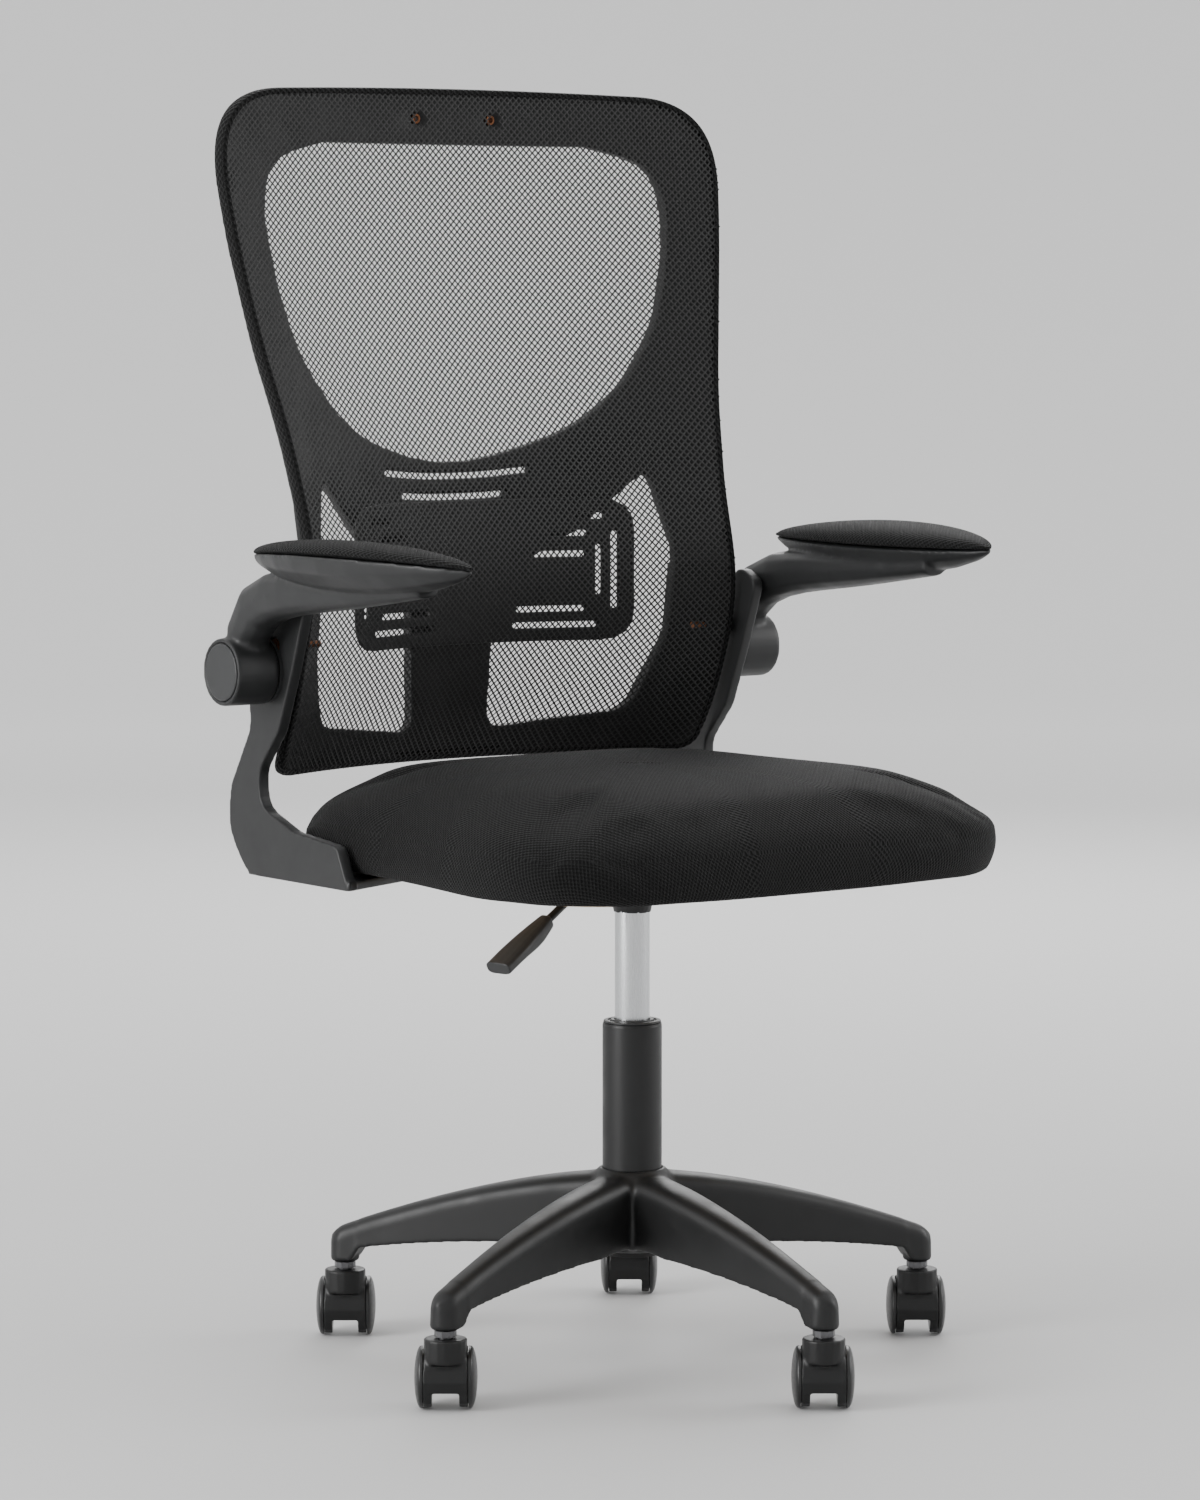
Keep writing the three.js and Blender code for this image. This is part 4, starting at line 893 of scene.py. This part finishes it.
def puffed(mesh, held, pressure, cap):
    """Lets a closed cover swell on its foam: the points in held stay, and none moves past cap."""
    frames = 20
    start = np.array([v.co for v in mesh.vertices], float)
    scratch = bpy.data.objects.new("swelling", mesh)
    bpy.context.scene.collection.objects.link(scratch)
    group = scratch.vertex_groups.new(name="held")
    group.add(held, 1.0, "REPLACE")
    modifier = scratch.modifiers.new("Cloth", "CLOTH")
    settings = modifier.settings
    settings.quality = 6
    settings.mass = 0.3
    settings.tension_stiffness = 25
    settings.compression_stiffness = 25
    settings.shear_stiffness = 10
    settings.bending_stiffness = 2.5
    settings.use_pressure = True
    settings.uniform_pressure_force = pressure
    settings.vertex_group_mass = "held"
    settings.effector_weights.gravity = 0
    modifier.collision_settings.use_collision = False
    modifier.point_cache.frame_start = 1
    modifier.point_cache.frame_end = frames
    scene = bpy.context.scene
    for f in range(1, frames + 1):
        scene.frame_set(f)
    depsgraph = bpy.context.evaluated_depsgraph_get()
    swollen = scratch.evaluated_get(depsgraph).data
    moved = np.array([v.co for v in swollen.vertices], float) - start
    length = np.linalg.norm(moved, axis=1, keepdims=True)
    moved *= np.minimum(1.0, cap / np.maximum(length, 1e-9))
    mesh.vertices.foreach_set("co", (start + moved).ravel())
    mesh.update()
    bpy.data.objects.remove(scratch)
    scene.frame_set(1)
    return mesh


def seat_cushion():
    """The seat's cover: a crowned top, full sides, and a slightly wavy hem."""
    low, high = (corner.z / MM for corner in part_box("seat_cushion"))
    bulge = low + 33.0  # where its side stands out furthest

    def hem(k):
        a = k * 2 * math.pi / AROUND
        return low + 1.6 + 1.5 * math.sin(a * 9 + 0.6) * math.sin(a * 4 + 1.1)

    top = [(s, bulge + (high - 3 - bulge) * (1 - s**4.2) ** 0.5) for s in
           [math.sin(math.pi / 2 * k / 22) for k in range(1, 22)]]
    side = [(0.997, bulge + 4), (1.0, bulge - 4), (0.998, bulge - 13), (0.988, bulge - 22)]
    under = [(0.972, hem), (0.952, low + 0.8), (0.925, low + 2.2)]
    board = [(share, low + 8.2) for share in (0.6, 0.3, 0.0)]
    profile = [(0.0, high - 3)] + top + side + under + board
    name = "seat_cushion_upholstered"
    mesh = crowned(name, seat_plan, profile, (0.0, SEAT_MIDDLE_Y))
    held = list(range(1 + AROUND * (len(top) + len(side)), len(mesh.vertices)))
    mesh = subdivided(puffed(mesh, held, 3.0, 0.006))
    piece = new_piece(name, mesh, "seat", "seat_fabric", ["seat_cushion"], CLOTH_BEND)


# In millimetres. A pad's long line is the line along it that its two sides are measured from.
PAD_RIM = 678.0
PAD_BACK = PIVOT_Y - 39
PAD_FRONT = PAD_BACK - 297
PAD_INNER = 27.0
PAD_OUTER = 47.0
PAD_CROWN = 16.4
PAD_LEAN = math.radians(8)


def pad_x(y):
    """The long line's distance from the chair's middle plane."""
    return mix(BRACKET + 34, BRACKET + 42, (y - PAD_FRONT) / (PAD_BACK - PAD_FRONT))


def pad_point(side, u, height, t, slack):
    """A point of the left pad (side 1) or, mirrored, of the right one (side -1): u runs from its
    outer edge at -1 to its inner edge at 1, and t from its back to its front."""
    y = mix(PAD_BACK, PAD_FRONT, t)
    blunt = math.sin(math.pi * clamp(t, 0.004, 0.996)) ** 0.62
    across = -u * ((PAD_INNER if u > 0 else PAD_OUTER) + slack) * blunt
    x = pad_x(y) + across * math.cos(PAD_LEAN) - height * math.sin(PAD_LEAN)
    z = PAD_RIM + across * math.sin(PAD_LEAN) + height * math.cos(PAD_LEAN)
    return Vector((side * x, y, z))


def arm_pad(name, side):
    """A pad's crowned cover on its foam, tucked in where it meets the tray."""
    lengthways, across = 72, 24
    points, flat = [], []
    for i in range(lengthways + 1):
        s = i / lengthways
        t = 0.5 - 0.5 * math.cos(math.pi * s)
        crown = PAD_CROWN * math.sin(math.pi * clamp(t, 0.006, 0.994)) ** 0.5
        walked = 0.0
        for k in range(across):
            a = math.pi * k / (across - 1)
            u = math.cos(a)
            tuck = -1.2 if k in (0, across - 1) else 0.0
            lift = 0.4 + crown * max(math.sin(a), 0.0) ** 0.72
            p = pad_point(side, u, lift, t, tuck)
            if k:
                walked += (p - points[-1]).length
            points.append(p)
            flat.append(walked)
        half = walked / 2
        for k in range(across):
            flat[-across + k] = ((flat[-across + k] - half) * MM, (PAD_BACK - p.y) * MM, 0.0)
    faces = []
    for i in range(lengthways):
        for k in range(across - 1):
            a, b = i * across + k, (i + 1) * across + k
            faces.append((a, b, b + 1, a + 1))
        a, b = i * across, (i + 1) * across
        faces.append((a, a + across - 1, b + across - 1, b))
    front = lengthways * across
    faces.append(tuple(range(across)))
    faces.append(tuple(front + k for k in reversed(range(across))))
    scaled = [(p.x * MM, p.y * MM + SHIFT_Y, p.z * MM) for p in points]
    mesh = mesh_from(f"{name}_upholstered", scaled, faces)
    oriented(mesh)
    lay_cloth(mesh, flat)
    held = [i * across + k for i in range(lengthways + 1) for k in (0, across - 1)]
    ends = list(range(across)) + list(range(front, front + across))
    mesh = subdivided(puffed(mesh, held + ends, 2.0, 0.0025))
    piece = new_piece(f"{name}_upholstered", mesh, BODY[name], "pad_fabric", [name], CLOTH_BEND)


# ------------------------------------------------------------------ camera, floor and lights


def area_light(name, place, size, power):
    """A soft light that faces the chair's middle."""
    light = bpy.data.lights.new(name, "AREA")
    light.shape = "RECTANGLE"
    light.size, light.size_y = size
    light.energy = power
    lamp = bpy.data.objects.new(name, light)
    lamp.location = place
    aim = Vector((0.0, 0.0, 0.55)) - Vector(place)
    lamp.rotation_euler = aim.to_track_quat("-Z", "Y").to_euler()
    bpy.context.scene.collection.objects.link(lamp)


def camera_and_studio():
    """The photograph's viewing angle, a pale floor that curves up into a wall, and soft light."""
    data = bpy.data.cameras.new("camera")
    data.sensor_width = 36.0
    data.lens = 121.6
    camera = bpy.data.objects.new("camera", data)
    camera.location = (-2.509, -3.388, 0.902)
    camera.rotation_euler = (math.radians(84.72), 0.0, math.radians(-36.21))
    bpy.context.scene.collection.objects.link(camera)
    bpy.context.scene.camera = camera

    floor_radius, cove, height = 7.0, 3.0, 4.2
    sunk = -0.0004  # so that the wheels rest on the floor without sharing its surface
    profile = [(0.0, 0.0), (floor_radius, 0.0)]
    profile += [
        (floor_radius + cove * math.sin(a), cove - cove * math.cos(a))
        for a in [math.pi / 2 * k / 16 for k in range(1, 17)]
    ]
    profile.append((floor_radius + cove, height))
    mesh = lathe("studio_floor", [(r / MM, z / MM) for r, z in profile], (0, 0, sunk), UP, 96)
    floor = bpy.data.objects.new("studio_floor", mesh)
    mesh.polygons.foreach_set("use_smooth", [True] * len(mesh.polygons))
    n = Nodes("studio_floor")
    away = n.add("ShaderNodeVectorMath", _0=n.place())
    away.operation = "LENGTH"
    # darker grey near the chair, paler far out: painted shade and painted light that even out how
    # the lamps light the floor and wall
    far = n.between(away.outputs["Value"], 1.0, 6.0, 0.0, 1.0)
    n.set(Base_Color=n.blend(far, grey(0.53), grey(0.86)), Roughness=0.95)
    n.shader.inputs["Specular IOR Level"].default_value = 0.1
    mesh.materials.append(n.material)
    bpy.context.scene.collection.objects.link(floor)

    world = bpy.data.worlds.new("studio")
    world.use_nodes = True
    tree = world.node_tree
    sky = tree.nodes["Background"]
    towards = tree.nodes.new("ShaderNodeVectorMath")
    towards.operation = "DOT_PRODUCT"
    towards.inputs[1].default_value = (-0.6, -0.8, 0.0)
    tree.links.new(tree.nodes.new("ShaderNodeTexCoord").outputs["Generated"], towards.inputs[0])
    dimmed = tree.nodes.new("ShaderNodeMapRange")
    for key, value in enumerate((0.35, 0.95, 1.3, 0.55), 1):  # from low, high to low, high
        dimmed.inputs[key].default_value = value
    tree.links.new(towards.outputs["Value"], dimmed.inputs[0])
    tree.links.new(dimmed.outputs[0], sky.inputs[1])
    sky.inputs[0].default_value = (1.0, 1.0, 1.0, 1.0)
    bpy.context.scene.world = world

    area_light("left", (-3.6, 0.3, 1.5), (1.6, 2.4), 150)
    area_light("right", (3.2, -1.6, 1.8), (1.6, 2.4), 60)
    area_light("rim", (2.2, 2.4, 2.4), (1.6, 2.4), 60)
    area_light("top", (0.0, 0.0, 3.4), (2.6, 2.6), 8)


# ------------------------------------------------------------------ the chair


camera_and_studio()
column_pieces()
caster_pieces()
seat_cushion()
for pad in ("armrest_pad_left", "armrest_pad_right"):
    arm_pad(pad, 1 if sum(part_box(pad), Vector()).x > 0 else -1)

net = net_piece()
edge = net_edge()

base_piece()
soften("back_frame", 0.0016, 8)
soften("lumbar_support", 0.0011, 6)
soften("lumbar_knob", 0.0008, 6)
for hand in ("left", "right"):
    soften(f"armrest_{hand}", 0.0013, 26)
    soften(f"arm_bracket_{hand}", 0.0013, 12)
    soften(f"arm_pivot_cap_{hand}", 0.0006, 6)
soften("lever_paddle", 0.0007, 6)
soften("lever_rod", 0.0006, 6)
soften("seat_plate", 0.0011, 4)

for name, cad in frame["nodes"].items():
    # caster stems take the darkened stem steel, whose darkness is painted shade for the gap round
    # them
    slot = "stem_steel" if name.startswith("caster_stem") else SLOT[name]
    cad.data.materials.clear()
    cad.data.materials.append(finish_of(slot))
